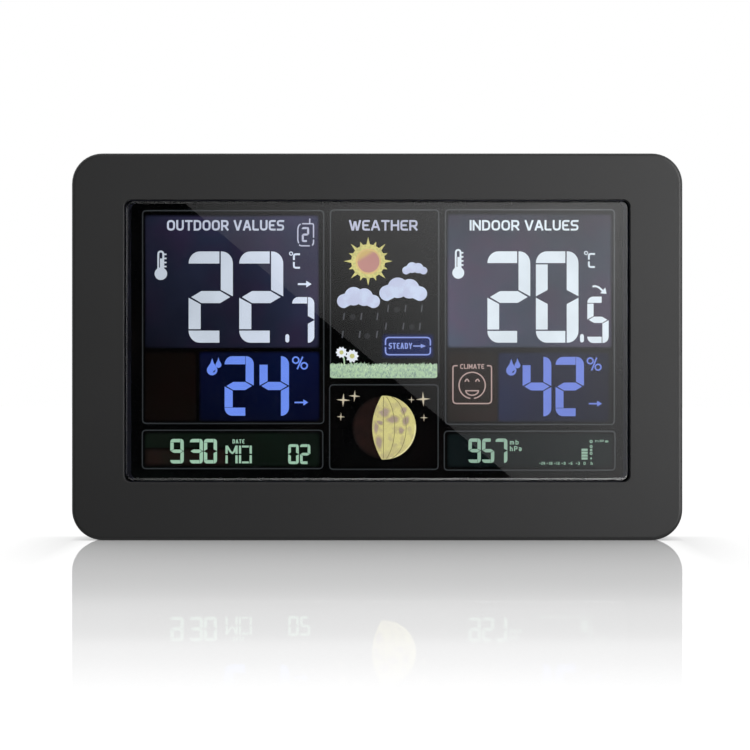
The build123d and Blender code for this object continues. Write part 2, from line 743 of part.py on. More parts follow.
def main_board():
    hole_radius = 1.1
    board = block(BOARD_LEFT, BOARD_RIGHT, BOARD_FRONT, BOARD_REAR, BOARD_BOTTOM, BOARD_TOP)
    for x, z in board_screw_places():
        board -= rod_y(x, z, hole_radius, BOARD_FRONT, BOARD_REAR)
    return board


def chip(x, z, width, height, thickness, pins_per_side, pin_pitch):
    """A flat package with square pins along its two upright sides."""
    pin_half = 0.15
    pin_reach = 0.9
    pin_thickness = 0.25
    body = block(
        x - width / 2, x + width / 2, BOARD_REAR, BOARD_REAR + thickness, z - height / 2, z + height / 2)
    first = z - pin_pitch * (pins_per_side - 1) / 2
    for i in range(pins_per_side):
        pin_z = first + i * pin_pitch
        body += block(
            x - width / 2 - pin_reach, x + width / 2 + pin_reach, BOARD_REAR, BOARD_REAR + pin_thickness,
            pin_z - pin_half, pin_z + pin_half)
    return body


def controller_chip():
    return chip(x=0.0, z=96.0, width=14.0, height=14.0, thickness=1.6, pins_per_side=10, pin_pitch=1.2)


def lcd_driver_chip():
    return chip(x=21.0, z=92.0, width=10.0, height=10.0, thickness=1.4, pins_per_side=8, pin_pitch=1.1)


def memory_chip():
    return chip(x=-18.0, z=99.0, width=4.0, height=5.0, thickness=1.5, pins_per_side=4, pin_pitch=1.27)


def clock_crystal():
    radius = 1.0
    left = -21.0
    length = 6.0
    z = 91.0
    return rod_x(BOARD_REAR + radius, z, radius, left, left + length)


def receiver_module():
    """The small radio board, standing on a pin header."""
    board_thickness = 0.8
    header_height = 2.0
    header_inset = 1.0
    board = block(
        RECEIVER_LEFT, RECEIVER_RIGHT, RECEIVER_REAR - board_thickness, RECEIVER_REAR,
        RECEIVER_BOTTOM, RECEIVER_TOP)
    header = block(
        RECEIVER_LEFT + header_inset, RECEIVER_RIGHT - header_inset,
        BOARD_REAR, RECEIVER_REAR - board_thickness,
        RECEIVER_BOTTOM, RECEIVER_BOTTOM + header_height)
    return board + header


def receiver_shield():
    inset = 1.5
    right_inset = 4.5
    height = 2.0
    return block(
        RECEIVER_LEFT + inset, RECEIVER_RIGHT - right_inset, RECEIVER_REAR, RECEIVER_REAR + height,
        RECEIVER_BOTTOM + inset, RECEIVER_TOP - inset)


def antenna_wire():
    """The aerial: a thin wire from the radio board along the inside of the top wall."""
    wire_radius = 0.5
    bend = 3.0
    depth = RECEIVER_REAR + wire_radius
    start_z = 111.0
    run_z = 117.6
    end_x = 80.0
    route = [
        (RECEIVER_RIGHT - 2.0, depth, start_z), (36.0, depth, start_z), (45.6, depth, run_z),
        (end_x, depth, run_z)]
    return wire(route, wire_radius, bend)


def indoor_sensor():
    """The temperature and humidity sensor, a square package with a round port."""
    x = 60.0
    z = 98.0
    half = 2.5
    height = 1.6
    port_radius = 0.8
    top = BOARD_REAR + height
    body = block(x - half, x + half, BOARD_REAR, top, z - half, z + half)
    return body - rod_y(x, z, port_radius, top - height / 2, top)


def pressure_sensor():
    """The air pressure sensor, a round can with a small port."""
    x = 50.0
    z = 88.0
    radius = 2.6
    height = 1.5
    port_radius = 0.5
    port_depth = 0.7
    top = BOARD_REAR + height
    return rod_y(x, z, radius, BOARD_REAR, top) - rod_y(x, z, port_radius, top - port_depth, top)


def capacitors():
    """Electrolytic capacitors lying in a row at the lower edge of the board."""
    lefts = (30.0, 40.0, 50.0)
    z = 66.0
    radius = 2.5
    length = 6.0
    pieces = [rod_x(BOARD_REAR + radius, z, radius, x, x + length) for x in lefts]
    return Compound(children=pieces)


def buzzer():
    """The sounder: a round can behind the sound holes, with a small mouth."""
    height = 3.4
    mouth_radius = 1.0
    mouth_depth = 1.0
    rear = INNER_REAR - 0.2
    can = rod_y(BUZZER_X, BUZZER_Z, BUZZER_RADIUS, rear - height, rear)
    return can - rod_y(BUZZER_X, BUZZER_Z, mouth_radius, rear - mouth_depth, rear)


def internal_leads():
    """Battery leads and buzzer leads."""
    radius = 0.5
    bend = 2.0
    reach = BOARD_REAR + radius
    lug_side = 16.3
    battery_left = [(29.9, lug_side, 49.5), (29.9, lug_side, 57.0), (29.9, reach, 63.5)]
    battery_right = [
        (87.4, lug_side, 23.5), (87.4, lug_side, 55.2), (77.0, lug_side, 59.4), (77.0, reach, 63.5)]
    buzzer_left = [(-61.5, 20.0, 43.6), (-61.5, reach, 50.0), (-61.5, reach, 63.5)]
    buzzer_right = [(-58.5, 20.0, 43.6), (-58.5, reach, 50.0), (-58.5, reach, 63.5)]
    routes = (battery_left, battery_right, buzzer_left, buzzer_right)
    return Compound(children=[wire(route, radius, bend) for route in routes])


def tact_switches():
    """Six upright switches behind the keys and one lying switch under the light bar."""
    half = SWITCH_SIDE / 2
    lying_rear = SWITCH_BODY_REAR + 0.5
    pieces = []
    for x in button_xs():
        body = block(x - half, x + half, BOARD_REAR, SWITCH_BODY_REAR, BUTTON_Z - half, BUTTON_Z + half)
        body += rod_y(x, BUTTON_Z, SWITCH_PLUNGER_RADIUS, SWITCH_BODY_REAR, SWITCH_PLUNGER_REAR)
        pieces.append(body)
    lying = block(-half, half, BOARD_REAR, lying_rear, TOP_SWITCH_BOTTOM, TOP_SWITCH_TOP)
    lying += rod_z(0, TOP_PLUNGER_DEPTH, TOP_PLUNGER_RADIUS, TOP_SWITCH_TOP, TOP_PLUNGER_TOP)
    pieces.append(lying)
    return Compound(children=pieces)


def slide_switch():
    half_length = 7.0
    half_height = 2.5
    middle = KNOB_X + KNOB_TRAVEL / 2
    return block(
        middle - half_length, middle + half_length, BOARD_REAR, SWITCH_BODY_REAR,
        KNOB_Z - half_height, KNOB_Z + half_height)


def dc_jack():
    """The power inlet: a block with a deep round socket facing the left side wall."""
    half_height = 4.5
    half_depth = JACK_DEPTH - BOARD_REAR
    bore_end = JACK_OUTER_X + JACK_BORE_LENGTH
    body = block(
        JACK_OUTER_X, JACK_INNER_X, JACK_DEPTH - half_depth, JACK_DEPTH + half_depth,
        JACK_Z - half_height, JACK_Z + half_height)
    body -= rod_x(JACK_DEPTH, JACK_Z, JACK_BORE_RADIUS, JACK_OUTER_X, bore_end)
    return body - rod_x(JACK_DEPTH, JACK_Z, JACK_PIN_RADIUS, bore_end, bore_end + JACK_PIN_ROOT)


def dc_jack_pin():
    """The inlet's centre pin, rooted in the block behind the bore."""
    tip_back = 1.0
    pin_fit = 0.02
    return rod_x(
        JACK_DEPTH, JACK_Z, JACK_PIN_RADIUS - pin_fit, JACK_OUTER_X + tip_back,
        JACK_OUTER_X + JACK_BORE_LENGTH + JACK_PIN_ROOT)


# ---- batteries ----------------------------------------------------------------------------------


def cell_faces_right(index):
    """Cells lie head to tail: the outer two point right, the middle one left."""
    return index != 1


def battery_cell(index):
    edge_radius = 0.5
    z = CELL_ZS[index]
    end_gap = CONTACT_THICKNESS + 0.05
    if cell_faces_right(index):
        tip = BAY_RIGHT - end_gap
        shoulder = tip - CELL_NUB_LENGTH
        nub = rod_x(CELL_DEPTH, z, CELL_NUB_RADIUS, shoulder, tip)
        can = rod_x(CELL_DEPTH, z, CELL_RADIUS, shoulder - CELL_LENGTH, shoulder)
    else:
        tip = BAY_LEFT + end_gap
        shoulder = tip + CELL_NUB_LENGTH
        nub = rod_x(CELL_DEPTH, z, CELL_NUB_RADIUS, tip, shoulder)
        can = rod_x(CELL_DEPTH, z, CELL_RADIUS, shoulder, shoulder + CELL_LENGTH)
    return fillet(can.edges().filter_by(GeomType.CIRCLE), edge_radius) + nub


def battery_springs():
    """A coil spring behind the flat end of each cell."""
    wall_gap = 0.1
    play = 0.1
    cell = CELL_LENGTH + CELL_NUB_LENGTH
    height = BAY_RIGHT - BAY_LEFT - 2 * CONTACT_THICKNESS - cell - 2 * wall_gap
    coil_length = height - 2 * SPRING_WIRE_RADIUS - play
    path = Helix(coil_length / SPRING_TURNS, coil_length, SPRING_RADIUS)
    profile = Plane(origin=path @ 0, z_dir=path % 0) * Circle(SPRING_WIRE_RADIUS)
    coil = sweep(profile, path=path, is_frenet=True)
    start = CONTACT_THICKNESS + wall_gap + SPRING_WIRE_RADIUS
    pieces = []
    for index, z in enumerate(CELL_ZS):
        if cell_faces_right(index):
            place = Pos(BAY_LEFT + start, y_at(CELL_DEPTH), z) * Rot(0, 90, 0)
        else:
            place = Pos(BAY_RIGHT - start, y_at(CELL_DEPTH), z) * Rot(0, -90, 0)
        pieces.append(place * coil)
    return Compound(children=pieces)


def contact_lugs(play=0.0):
    """Solder lugs of the two end contacts, where they pass through the bay's side walls."""
    depth = 15.5
    half_height = 1.0 + play
    thickness = 0.25 + play
    lug_reach = 1.6
    left_z = 50.2
    right_z = 24.2
    left = block(
        BAY_LEFT - BAY_WALL - lug_reach, BAY_LEFT, depth - thickness, depth + thickness,
        left_z - half_height, left_z + half_height)
    right = block(
        BAY_RIGHT, BAY_RIGHT + BAY_WALL + lug_reach, depth - thickness, depth + thickness,
        right_z - half_height, right_z + half_height)
    return [left, right]


def battery_contacts():
    """Four contact plates on the bay's end walls: two join neighbouring cells, two end the chain."""
    d0 = BAY_FLOOR + 1.0
    d1 = INNER_REAR - 2.0
    half = 4.8
    reach_to_lug = 0.6
    inner_left = BAY_LEFT + CONTACT_THICKNESS
    inner_right = BAY_RIGHT - CONTACT_THICKNESS
    left_lug, right_lug = contact_lugs()
    left_link = block(BAY_LEFT, inner_left, d0, d1, CELL_ZS[0] - half, CELL_ZS[1] + half)
    left_end = block(BAY_LEFT, inner_left, d0, d1, CELL_ZS[2] - half, CELL_ZS[2] + half + reach_to_lug)
    right_end = block(inner_right, BAY_RIGHT, d0, d1, CELL_ZS[0] - half, CELL_ZS[0] + half)
    right_link = block(inner_right, BAY_RIGHT, d0, d1, CELL_ZS[1] - half, CELL_ZS[2] + half)
    return Compound(children=[left_link, left_end + left_lug, right_end + right_lug, right_link])


# ---- operated pieces ----------------------------------------------------------------------------


def rear_button(x):
    """A key: cap through the wall, flange behind it, stem above its switch."""
    wall_gap = 0.15
    flange_border = 1.3
    flange_thickness = 1.0
    stem_radius = 1.4
    crown = 0.6
    flange_rear = INNER_REAR - wall_gap
    flange_front = flange_rear - flange_thickness
    radius = BUTTON_HEIGHT / 2 - 0.1
    stem_front = SWITCH_PLUNGER_REAR + BUTTON_TRAVEL + 0.05
    cap = slab(
        BUTTON_WIDTH, BUTTON_HEIGHT, radius, flange_rear, CASE_DEPTH + BUTTON_PROUD, x=x, z=BUTTON_Z)
    cap = fillet(cap.faces().sort_by(Axis.Y)[-1].edges(), crown)
    flange = slab(
        BUTTON_WIDTH + 2 * flange_border, BUTTON_HEIGHT + 2 * flange_border, radius,
        flange_front, flange_rear, x=x, z=BUTTON_Z)
    stem = rod_y(x, BUTTON_Z, stem_radius, stem_front, flange_front)
    return cap + flange + stem


def light_bar():
    """The wide key on top: a bar through the top wall, a flange below it and a stem over its switch."""
    flange_border = 1.2
    flange_top = 119.5
    flange_bottom = 118.2
    stem_half_width = 3.0
    stem_front = 16.2
    stem_rear = 19.0
    stem_bottom = TOP_PLUNGER_TOP + LIGHT_BAR_TRAVEL + 0.1
    crown = 0.8
    half = LIGHT_BAR_HALF_WIDTH
    bar = block(-half, half, LIGHT_BAR_FRONT, LIGHT_BAR_REAR, flange_top, LIGHT_BAR_TOP)
    bar = fillet(bar.faces().sort_by(Axis.Z)[-1].edges(), crown)
    bar += block(
        -half - flange_border, half + flange_border, LIGHT_BAR_FRONT - flange_border,
        LIGHT_BAR_REAR + flange_border, flange_bottom, flange_top)
    return bar + block(-stem_half_width, stem_half_width, stem_front, stem_rear, stem_bottom, flange_bottom)


def slide_knob():
    """The slide switch's cap: a ribbed knob through the slot, on a plate that covers the slot."""
    knob_half_height = 1.8
    knob_proud = 0.9
    plate_half_width = 9.0
    plate_half_height = 3.75
    plate_front = 22.6
    plate_rear = 23.7
    stem_radius = 1.0
    groove_offsets = (-1.2, 0.0, 1.2)
    groove_half = 0.2
    groove_sunk = 0.4
    top = CASE_DEPTH + knob_proud
    knob = block(
        KNOB_X - KNOB_HALF_WIDTH, KNOB_X + KNOB_HALF_WIDTH, plate_rear, top,
        KNOB_Z - knob_half_height, KNOB_Z + knob_half_height)
    knob += block(
        KNOB_X - plate_half_width, KNOB_X + plate_half_width, plate_front, plate_rear,
        KNOB_Z - plate_half_height, KNOB_Z + plate_half_height)
    knob += rod_y(KNOB_X, KNOB_Z, stem_radius, SWITCH_BODY_REAR + 0.2, plate_front)
    for offset in groove_offsets:
        x = KNOB_X + offset
        knob -= block(
            x - groove_half, x + groove_half, top - groove_sunk, top,
            KNOB_Z - knob_half_height, KNOB_Z + knob_half_height)
    return knob


# ---- writing the pieces -------------------------------------------------------------------------

PIECES = (
    front_frame, rear_cover, display_window, display_mask, rubber_foot_strip,
    battery_door, case_screws, tray_screws, board_screws,
    stand_foot, stand_foot_pad, stand_hinge_pins,
    front_polariser, lcd_front_glass, lcd_rear_glass, rear_polariser, colour_film, diffuser_sheet,
    light_guide, reflector_sheet, led_boards, backlight_leds, backlight_tray, zebra_strip,
    main_board, controller_chip, lcd_driver_chip, memory_chip, clock_crystal,
    receiver_module, receiver_shield, antenna_wire, indoor_sensor, pressure_sensor, capacitors,
    buzzer, internal_leads, tact_switches, slide_switch, dc_jack, dc_jack_pin,
    battery_springs, battery_contacts, light_bar, slide_knob,
)

os.makedirs("parts", exist_ok=True)

for make_piece in PIECES:
    export_step(make_piece(), "parts/" + make_piece.__name__ + ".step")

for cell_index in range(len(CELL_ZS)):
    export_step(battery_cell(cell_index), "parts/battery_cell_" + str(cell_index + 1) + ".step")

for button_name, button_x in zip(BUTTON_NAMES, button_xs()):
    export_step(rear_button(button_x), "parts/" + button_name + ".step")
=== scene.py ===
import math
import random

import bmesh
import bpy
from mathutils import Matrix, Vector


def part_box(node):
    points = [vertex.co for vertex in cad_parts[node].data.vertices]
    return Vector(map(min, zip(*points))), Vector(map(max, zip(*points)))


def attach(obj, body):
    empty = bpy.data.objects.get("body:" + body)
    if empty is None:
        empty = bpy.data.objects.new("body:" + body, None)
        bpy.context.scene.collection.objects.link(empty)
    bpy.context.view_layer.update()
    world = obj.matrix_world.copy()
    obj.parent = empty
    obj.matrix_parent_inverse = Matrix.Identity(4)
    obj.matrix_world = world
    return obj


# Looks of the home weather station: camera, studio, materials and the lit picture on its display.
# World units are metres. The display's layout is drawn in millimetres as seen from the front:
# x to the right of the case's middle, z above the table.

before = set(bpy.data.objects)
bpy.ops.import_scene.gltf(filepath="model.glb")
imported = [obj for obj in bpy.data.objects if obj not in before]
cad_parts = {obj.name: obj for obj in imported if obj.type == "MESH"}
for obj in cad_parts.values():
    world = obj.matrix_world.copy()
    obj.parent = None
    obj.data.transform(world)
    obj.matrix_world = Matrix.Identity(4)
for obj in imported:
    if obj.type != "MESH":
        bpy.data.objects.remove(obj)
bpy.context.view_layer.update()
MM = 0.001

# ---- camera -------------------------------------------------------------------------------------

CASE_LOW, CASE_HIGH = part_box("front_frame")
FRONT_Y = CASE_LOW.y
CAMERA_DISTANCE = 1.0
CAMERA_X = -0.00071
CAMERA_Z = 0.0542
SEEN_WIDTH = 0.2455
SENSOR = 36.0

camera_data = bpy.data.cameras.new("studio_camera")
camera_data.sensor_width = SENSOR
camera_data.lens = SENSOR * CAMERA_DISTANCE / SEEN_WIDTH
camera_data.clip_start = 0.01
camera_data.clip_end = 20.0
camera = bpy.data.objects.new("studio_camera", camera_data)
camera.location = (CAMERA_X, FRONT_Y - CAMERA_DISTANCE, CAMERA_Z)
camera.rotation_euler = (math.radians(90), 0, 0)
bpy.context.scene.collection.objects.link(camera)
bpy.context.scene.camera = camera
bpy.context.scene.view_settings.view_transform = "Standard"


# ---- material helpers ---------------------------------------------------------------------------


class Nodes:
    """The node tree of a new material or world, with short ways to add and link nodes."""

    def __init__(self, name, library=bpy.data.materials, output="ShaderNodeOutputMaterial"):
        self.owner = library.new(name)
        self.owner.use_nodes = True
        self.tree = self.owner.node_tree
        self.tree.nodes.clear()
        self.output = self.tree.nodes.new(output)

    def add(self, kind, **settings):
        node = self.tree.nodes.new(kind)
        for key, value in settings.items():
            setattr(node, key, value)
        return node

    def link(self, source, target):
        self.tree.links.new(source, target)

    def fill(self, node, **values):
        """Sets sockets by name; a socket given as a value is linked instead."""
        self.feed([node.inputs[key.replace("_", " ")] for key in values], values.values())
        return node

    def place(self):
        """The object's own coordinates, which are the CAD frame's, in metres."""
        return self.add("ShaderNodeTexCoord").outputs["Object"]

    def stretched(self, scale):
        mapping = self.fill(self.add("ShaderNodeMapping"), Vector=self.place(), Scale=scale)
        return mapping.outputs["Vector"]

    def noise(self, scale, detail=3.0, roughness=0.55, vector=None):
        node = self.add("ShaderNodeTexNoise")
        self.fill(node, Vector=vector or self.place(), Scale=scale, Detail=detail, Roughness=roughness)
        return node.outputs["Fac"]

    def span(self, value, low, high, from_low=0.0, from_high=1.0, smooth=False, clamp=True):
        """Maps a value's range onto another."""
        node = self.add("ShaderNodeMapRange", clamp=clamp)
        if smooth:
            node.interpolation_type = "SMOOTHSTEP"
        self.fill(node, Value=value, From_Min=from_low, From_Max=from_high, To_Min=low, To_Max=high)
        return node.outputs["Result"]

    def rise(self, value, start, end):
        """Grows from 0 to 1 between start and end."""
        return self.span(value, 0.0, 1.0, start, end)

    def fall(self, value, start, end):
        """Drops from 1 to 0 between start and end."""
        return self.span(value, 1.0, 0.0, start, end)

    def feed(self, sockets, values):
        """Gives each socket its value, or links it where the value is a socket; None leaves it alone."""
        for socket, value in zip(sockets, values):
            if isinstance(value, bpy.types.NodeSocket):
                self.link(value, socket)
            elif value is not None:
                socket.default_value = value

    def math(self, operation, first, second=None):
        node = self.add("ShaderNodeMath", operation=operation)
        self.feed(node.inputs, (first, second))
        return node.outputs[0]

    def times(self, first, second):
        return self.math("MULTIPLY", first, second)

    def plus(self, first, second):
        return self.math("ADD", first, second)

    def minus(self, first, second):
        return self.math("SUBTRACT", first, second)

    def mix(self, factor, first, second, blend="MIX"):
        """Mixes two colours, each a socket or an RGB triple."""
        node = self.add("ShaderNodeMix", data_type="RGBA", blend_type=blend)
        colours = [(*c, 1.0) if isinstance(c, tuple) else c for c in (first, second)]
        self.feed((node.inputs[0], *node.inputs[6:8]), (factor, *colours))
        return node.outputs[2]

    def grid_spots(self, scale, randomness, rim, edge):
        """Round spots, 1 inside the rim and 0 past the edge."""
        cells = self.add("ShaderNodeTexVoronoi", feature="F1")
        self.fill(cells, Vector=self.place(), Scale=scale, Randomness=randomness)
        return self.fall(cells.outputs["Distance"], rim, edge)

    def bump(self, height, distance):
        node = self.fill(self.add("ShaderNodeBump"), Height=height, Distance=distance, Strength=1.0)
        return node.outputs["Normal"]

    def axis(self, name):
        node = self.fill(self.add("ShaderNodeSeparateXYZ"), Vector=self.place())
        return node.outputs[name]

    def principled(self, **values):
        shader = self.fill(self.add("ShaderNodeBsdfPrincipled"), **values)
        self.link(shader.outputs[0], self.output.inputs["Surface"])
        return self.owner


def shade(color, factor):
    return tuple(channel * factor for channel in color)


def grained(name, color, roughness, grain, depth, tint=0.18, **more):
    """Moulded or matt material: fine grain in height and roughness, broad drift in colour."""
    n = Nodes(name)
    drift = n.rise(n.noise(22.0, detail=2.0), 0.3, 0.7)
    speckle = n.rise(n.noise(grain * 0.35, detail=2.0), 0.3, 0.7)
    broad = n.mix(drift, shade(color, 1.0 - tint), shade(color, 1.0 + tint))
    fine = n.mix(n.times(speckle, 0.3), broad, shade(color, 1.35))
    height = n.noise(grain, detail=2.0, roughness=0.6)
    rough = n.span(height, roughness - 0.06, roughness + 0.06, 0.3, 0.7)
    return n.principled(Base_Color=fine, Roughness=rough, Normal=n.bump(height, depth), **more)


def metal(name, color, roughness, stretch=(1.0, 1.0, 1.0), scale=2500.0):
    """Metal with drawn or ground lines along the axis whose stretch is smallest."""
    n = Nodes(name)
    vector = n.stretched(stretch)
    lines = n.noise(scale, detail=4.0, vector=vector)
    blotch = n.rise(n.noise(160.0, detail=4.0), 0.35, 0.7)
    tone = n.mix(blotch, color, shade(color, 0.85))
    rough = n.span(lines, roughness * 0.75, roughness * 1.35, 0.3, 0.7)
    return n.principled(Base_Color=tone, Metallic=1.0, Roughness=rough, Normal=n.bump(lines, 0.000004))


def clear_sheet(name, color, roughness, ior, dots=0.0):
    """Glass or clear plastic; dots adds a printed dot grid, as a light guide has."""
    n = Nodes(name)
    haze = n.noise(900.0, detail=4.0)
    rough = n.span(haze, roughness, roughness + 0.05, 0.4, 0.75)
    tone = n.mix(n.span(haze, 0.0, 0.25, 0.35, 0.75), color, shade(color, 0.9))
    if dots:
        spot = n.grid_spots(dots, 0.0, 0.22, 0.3)
        tone = n.mix(spot, tone, (0.95, 0.95, 0.95))
        rough = n.math("MAXIMUM", rough, n.times(spot, 0.6))
    return n.principled(
        Base_Color=tone, Roughness=rough, IOR=ior, Transmission_Weight=1.0,
        Normal=n.bump(haze, 0.0000004))


def window_material():
    """Hard-coated clear acrylic, polished, with a breath of haze in its roughness."""
    n = Nodes("window_acrylic")
    haze = n.noise(60.0, detail=5.0)
    rough = n.span(haze, 0.0, 0.002, 0.45, 0.8)
    tone = n.mix(n.rise(haze, 0.3, 0.8), (0.975, 0.98, 0.985), (0.95, 0.955, 0.965))
    return n.principled(Base_Color=tone, Roughness=rough, IOR=1.49, Transmission_Weight=1.0)


def polariser_material():
    """Dark film over the cell: near black, with faint patches of colour from the cell's gap."""
    n = Nodes("polariser_film")
    patch = n.rise(n.noise(38.0, detail=2.0), 0.42, 0.66)
    hue = n.rise(n.noise(21.0, detail=1.0), 0.4, 0.6)
    colour = n.mix(hue, (0.0010, 0.0016, 0.0014), (0.0018, 0.0010, 0.0010))
    tone = n.mix(patch, (0.0002, 0.0003, 0.0004), colour)
    rough = n.span(n.noise(3000.0), 0.25, 0.35, 0.3, 0.7)
    return n.principled(
        Base_Color=tone, Roughness=rough, Specular_IOR_Level=0.02,
        Emission_Color=tone, Emission_Strength=0.6)


def board_material():
    """Green solder mask over a web of copper tracks, with tinned pads."""
    n = Nodes("circuit_board")
    upright = n.fill(n.add("ShaderNodeMapping"), Vector=n.place(), Rotation=(math.radians(90), 0, 0))
    tracks = n.fill(
        n.add("ShaderNodeTexBrick"), Vector=upright.outputs[0], Scale=90.0, Mortar_Size=0.02,
        Mortar_Smooth=0.1, Brick_Width=0.9, Row_Height=0.17)
    web = n.noise(240.0, detail=1.0)
    line = n.fall(n.math("PINGPONG", n.times(web, 9.0), 0.5), 0.03, 0.09)
    copper = n.math("MAXIMUM", line, tracks.outputs["Fac"])
    tone = n.mix(copper, (0.012, 0.085, 0.035), (0.03, 0.17, 0.06))
    pad = n.grid_spots(320.0, 0.6, 0.13, 0.16)
    tone = n.mix(pad, tone, (0.55, 0.55, 0.52))
    return n.principled(
        Base_Color=tone, Metallic=n.times(pad, 0.9), Roughness=0.35,
        Normal=n.bump(copper, 0.00003))


def cell_material():
    """A cell's printed jacket: dark body, a light band near the top end and bright ends."""
    n = Nodes("cell_jacket")
    low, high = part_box("battery_cell_1")
    along = n.rise(n.axis("X"), low.x, high.x)
    band = n.times(n.rise(along, 0.70, 0.702), n.fall(along, 0.93, 0.932))
    flecks = n.noise(900.0, detail=4.0)
    body = n.mix(n.rise(flecks, 0.3, 0.7), (0.02, 0.08, 0.055), (0.03, 0.11, 0.075))
    tone = n.mix(band, body, (0.62, 0.6, 0.52))
    ends = n.math("MAXIMUM", n.fall(along, 0.012, 0.014), n.rise(along, 0.96, 0.962))
    tone = n.mix(ends, tone, (0.66, 0.65, 0.62))
    rough = n.span(flecks, 0.22, 0.36, 0.3, 0.7)
    return n.principled(
        Base_Color=tone, Metallic=n.math("MAXIMUM", ends, 0.35), Roughness=rough,
        Normal=n.bump(flecks, 0.000006))


def layered_strip_material():
    """The contact strip: carbon-loaded layers between clear silicone ones."""
    n = Nodes("elastomer")
    wave = n.math("PINGPONG", n.times(n.axis("X"), 4000.0), 1.0)
    stripes = n.rise(wave, 0.45, 0.55)
    tone = n.mix(stripes, (0.02, 0.02, 0.022), (0.3, 0.3, 0.34))
    return n.principled(Base_Color=tone, Roughness=0.55, Normal=n.bump(n.noise(5000.0), 0.000008))


def colour_print_material():
    """Printed colour areas behind the cell: lilac, navy and green fields, softly screened."""
    n = Nodes("colour_print")
    low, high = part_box("colour_film")
    z = n.rise(n.axis("Z"), low.z, high.z)
    tone = n.mix(n.rise(z, 0.21, 0.22), (0.1, 0.42, 0.18), (0.08, 0.12, 0.62))
    tone = n.mix(n.rise(z, 0.46, 0.47), tone, (0.42, 0.4, 0.66))
    screen = n.span(n.noise(5200.0, detail=1.0), 0.88, 1.05, 0.35, 0.65)
    rough = n.span(screen, 0.3, 0.45, 0.88, 1.05)
    return n.principled(Base_Color=tone, Roughness=rough, Normal=n.bump(screen, 0.000003))


# ---- finishes of the CAD parts ------------------------------------------------------------------

# Each finish and the nodes that have it.
FINISHES = [
    (grained(
        "case_plastic", (0.0095, 0.0096, 0.0097), 0.5, grain=7000.0, depth=0.000006, tint=0.06,
        Specular_IOR_Level=0.25), "front_frame"),
    (grained(
        "rear_plastic", (0.013, 0.0132, 0.0136), 0.55, grain=5200.0, depth=0.000012, tint=0.1,
        Specular_IOR_Level=0.35), "rear_cover stand_foot battery_door"),
    (grained(
        "key_plastic", (0.016, 0.016, 0.0165), 0.42, grain=6500.0, depth=0.000006, tint=0.08,
        Specular_IOR_Level=0.4),
        "set_button mode_button alarm_button history_button up_button down_button light_bar slide_knob"),
    (grained(
        "mask_plastic", (0.007, 0.0075, 0.014), 0.38, grain=6000.0, depth=0.000004,
        Specular_IOR_Level=0.2), "display_mask"),
    (grained("rubber_black", (0.012, 0.012, 0.012), 0.75, grain=3800.0, depth=0.00002),
        "rubber_foot_strip stand_foot_pad"),
    (grained("chip_black", (0.015, 0.015, 0.016), 0.55, grain=9000.0, depth=0.000006),
        "controller_chip lcd_driver_chip memory_chip indoor_sensor buzzer tact_switches slide_switch "
        "dc_jack"),
    (grained("white_plastic", (0.74, 0.74, 0.72), 0.5, grain=3500.0, depth=0.000006, tint=0.03),
        "reflector_sheet backlight_tray"),
    (grained("diffuser_film", (0.82, 0.82, 0.82), 0.6, grain=6000.0, depth=0.000003, tint=0.03),
        "diffuser_sheet"),
    (grained("led_white", (0.88, 0.84, 0.6), 0.3, grain=4000.0, depth=0.000004, tint=0.1),
        "backlight_leds"),
    (grained("capacitor_sleeve", (0.02, 0.03, 0.09), 0.3, grain=2400.0, depth=0.000006), "capacitors"),
    (grained("lead_insulation", (0.42, 0.025, 0.025), 0.38, grain=2600.0, depth=0.00001),
        "internal_leads"),
    (metal("screw_steel", (0.2, 0.2, 0.21), 0.38, scale=3000.0), "case_screws tray_screws board_screws"),
    (metal("pin_steel", (0.6, 0.6, 0.6), 0.25, stretch=(0.15, 1.0, 1.0)), "stand_hinge_pins dc_jack_pin"),
    (metal("tin_plate", (0.68, 0.68, 0.66), 0.3, scale=1500.0),
        "clock_crystal receiver_shield antenna_wire"),
    (metal("nickel_plate", (0.66, 0.63, 0.56), 0.24, stretch=(1.0, 0.3, 1.0)),
        "battery_springs battery_contacts"),
    (window_material(), "display_window"),
    (polariser_material(), "front_polariser rear_polariser"),
    (clear_sheet("display_glass", (0.86, 0.93, 0.91), 0.02, 1.52), "lcd_front_glass lcd_rear_glass"),
    (clear_sheet("light_guide_acrylic", (0.94, 0.96, 0.97), 0.03, 1.49, dots=480.0), "light_guide"),
    (board_material(), "led_boards main_board receiver_module pressure_sensor"),
    (cell_material(), "battery_cell_1 battery_cell_2 battery_cell_3"),
    (layered_strip_material(), "zebra_strip"),
    (colour_print_material(), "colour_film"),
]

unfinished = set(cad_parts)
for material, names in FINISHES:
    for name in names.split():
        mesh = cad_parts[name].data
        mesh.materials.clear()
        mesh.materials.append(material)
        unfinished.remove(name)
if unfinished:
    raise RuntimeError(f"no finish for {sorted(unfinished)}")

# ---- drawing on the display ---------------------------------------------------------------------

DISPLAY_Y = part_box("front_polariser")[0].y
SHEET_THICKNESS = 0.015 * MM
LAYER_STEP = 0.02 * MM
LIT_STRENGTH = 1.08
# Things drawn as seen at the case's front lie a little deeper, so they are drawn slightly larger.
APPARENT_DEPTH = 0.0032
DRAWN_SCALE = 0.9984 * (CAMERA_DISTANCE + APPARENT_DEPTH) / CAMERA_DISTANCE
DRAWN_MIDDLE_X = -0.6
VIEW_X = CAMERA_X / MM
VIEW_Z = CAMERA_Z / MM


def on_display(x, z):
    """The place on the display, in metres, that is seen at x, z."""
    wide = VIEW_X + (x - DRAWN_MIDDLE_X) * DRAWN_SCALE
    high = VIEW_Z + (z - VIEW_Z) * DRAWN_SCALE
    return wide * MM, high * MM


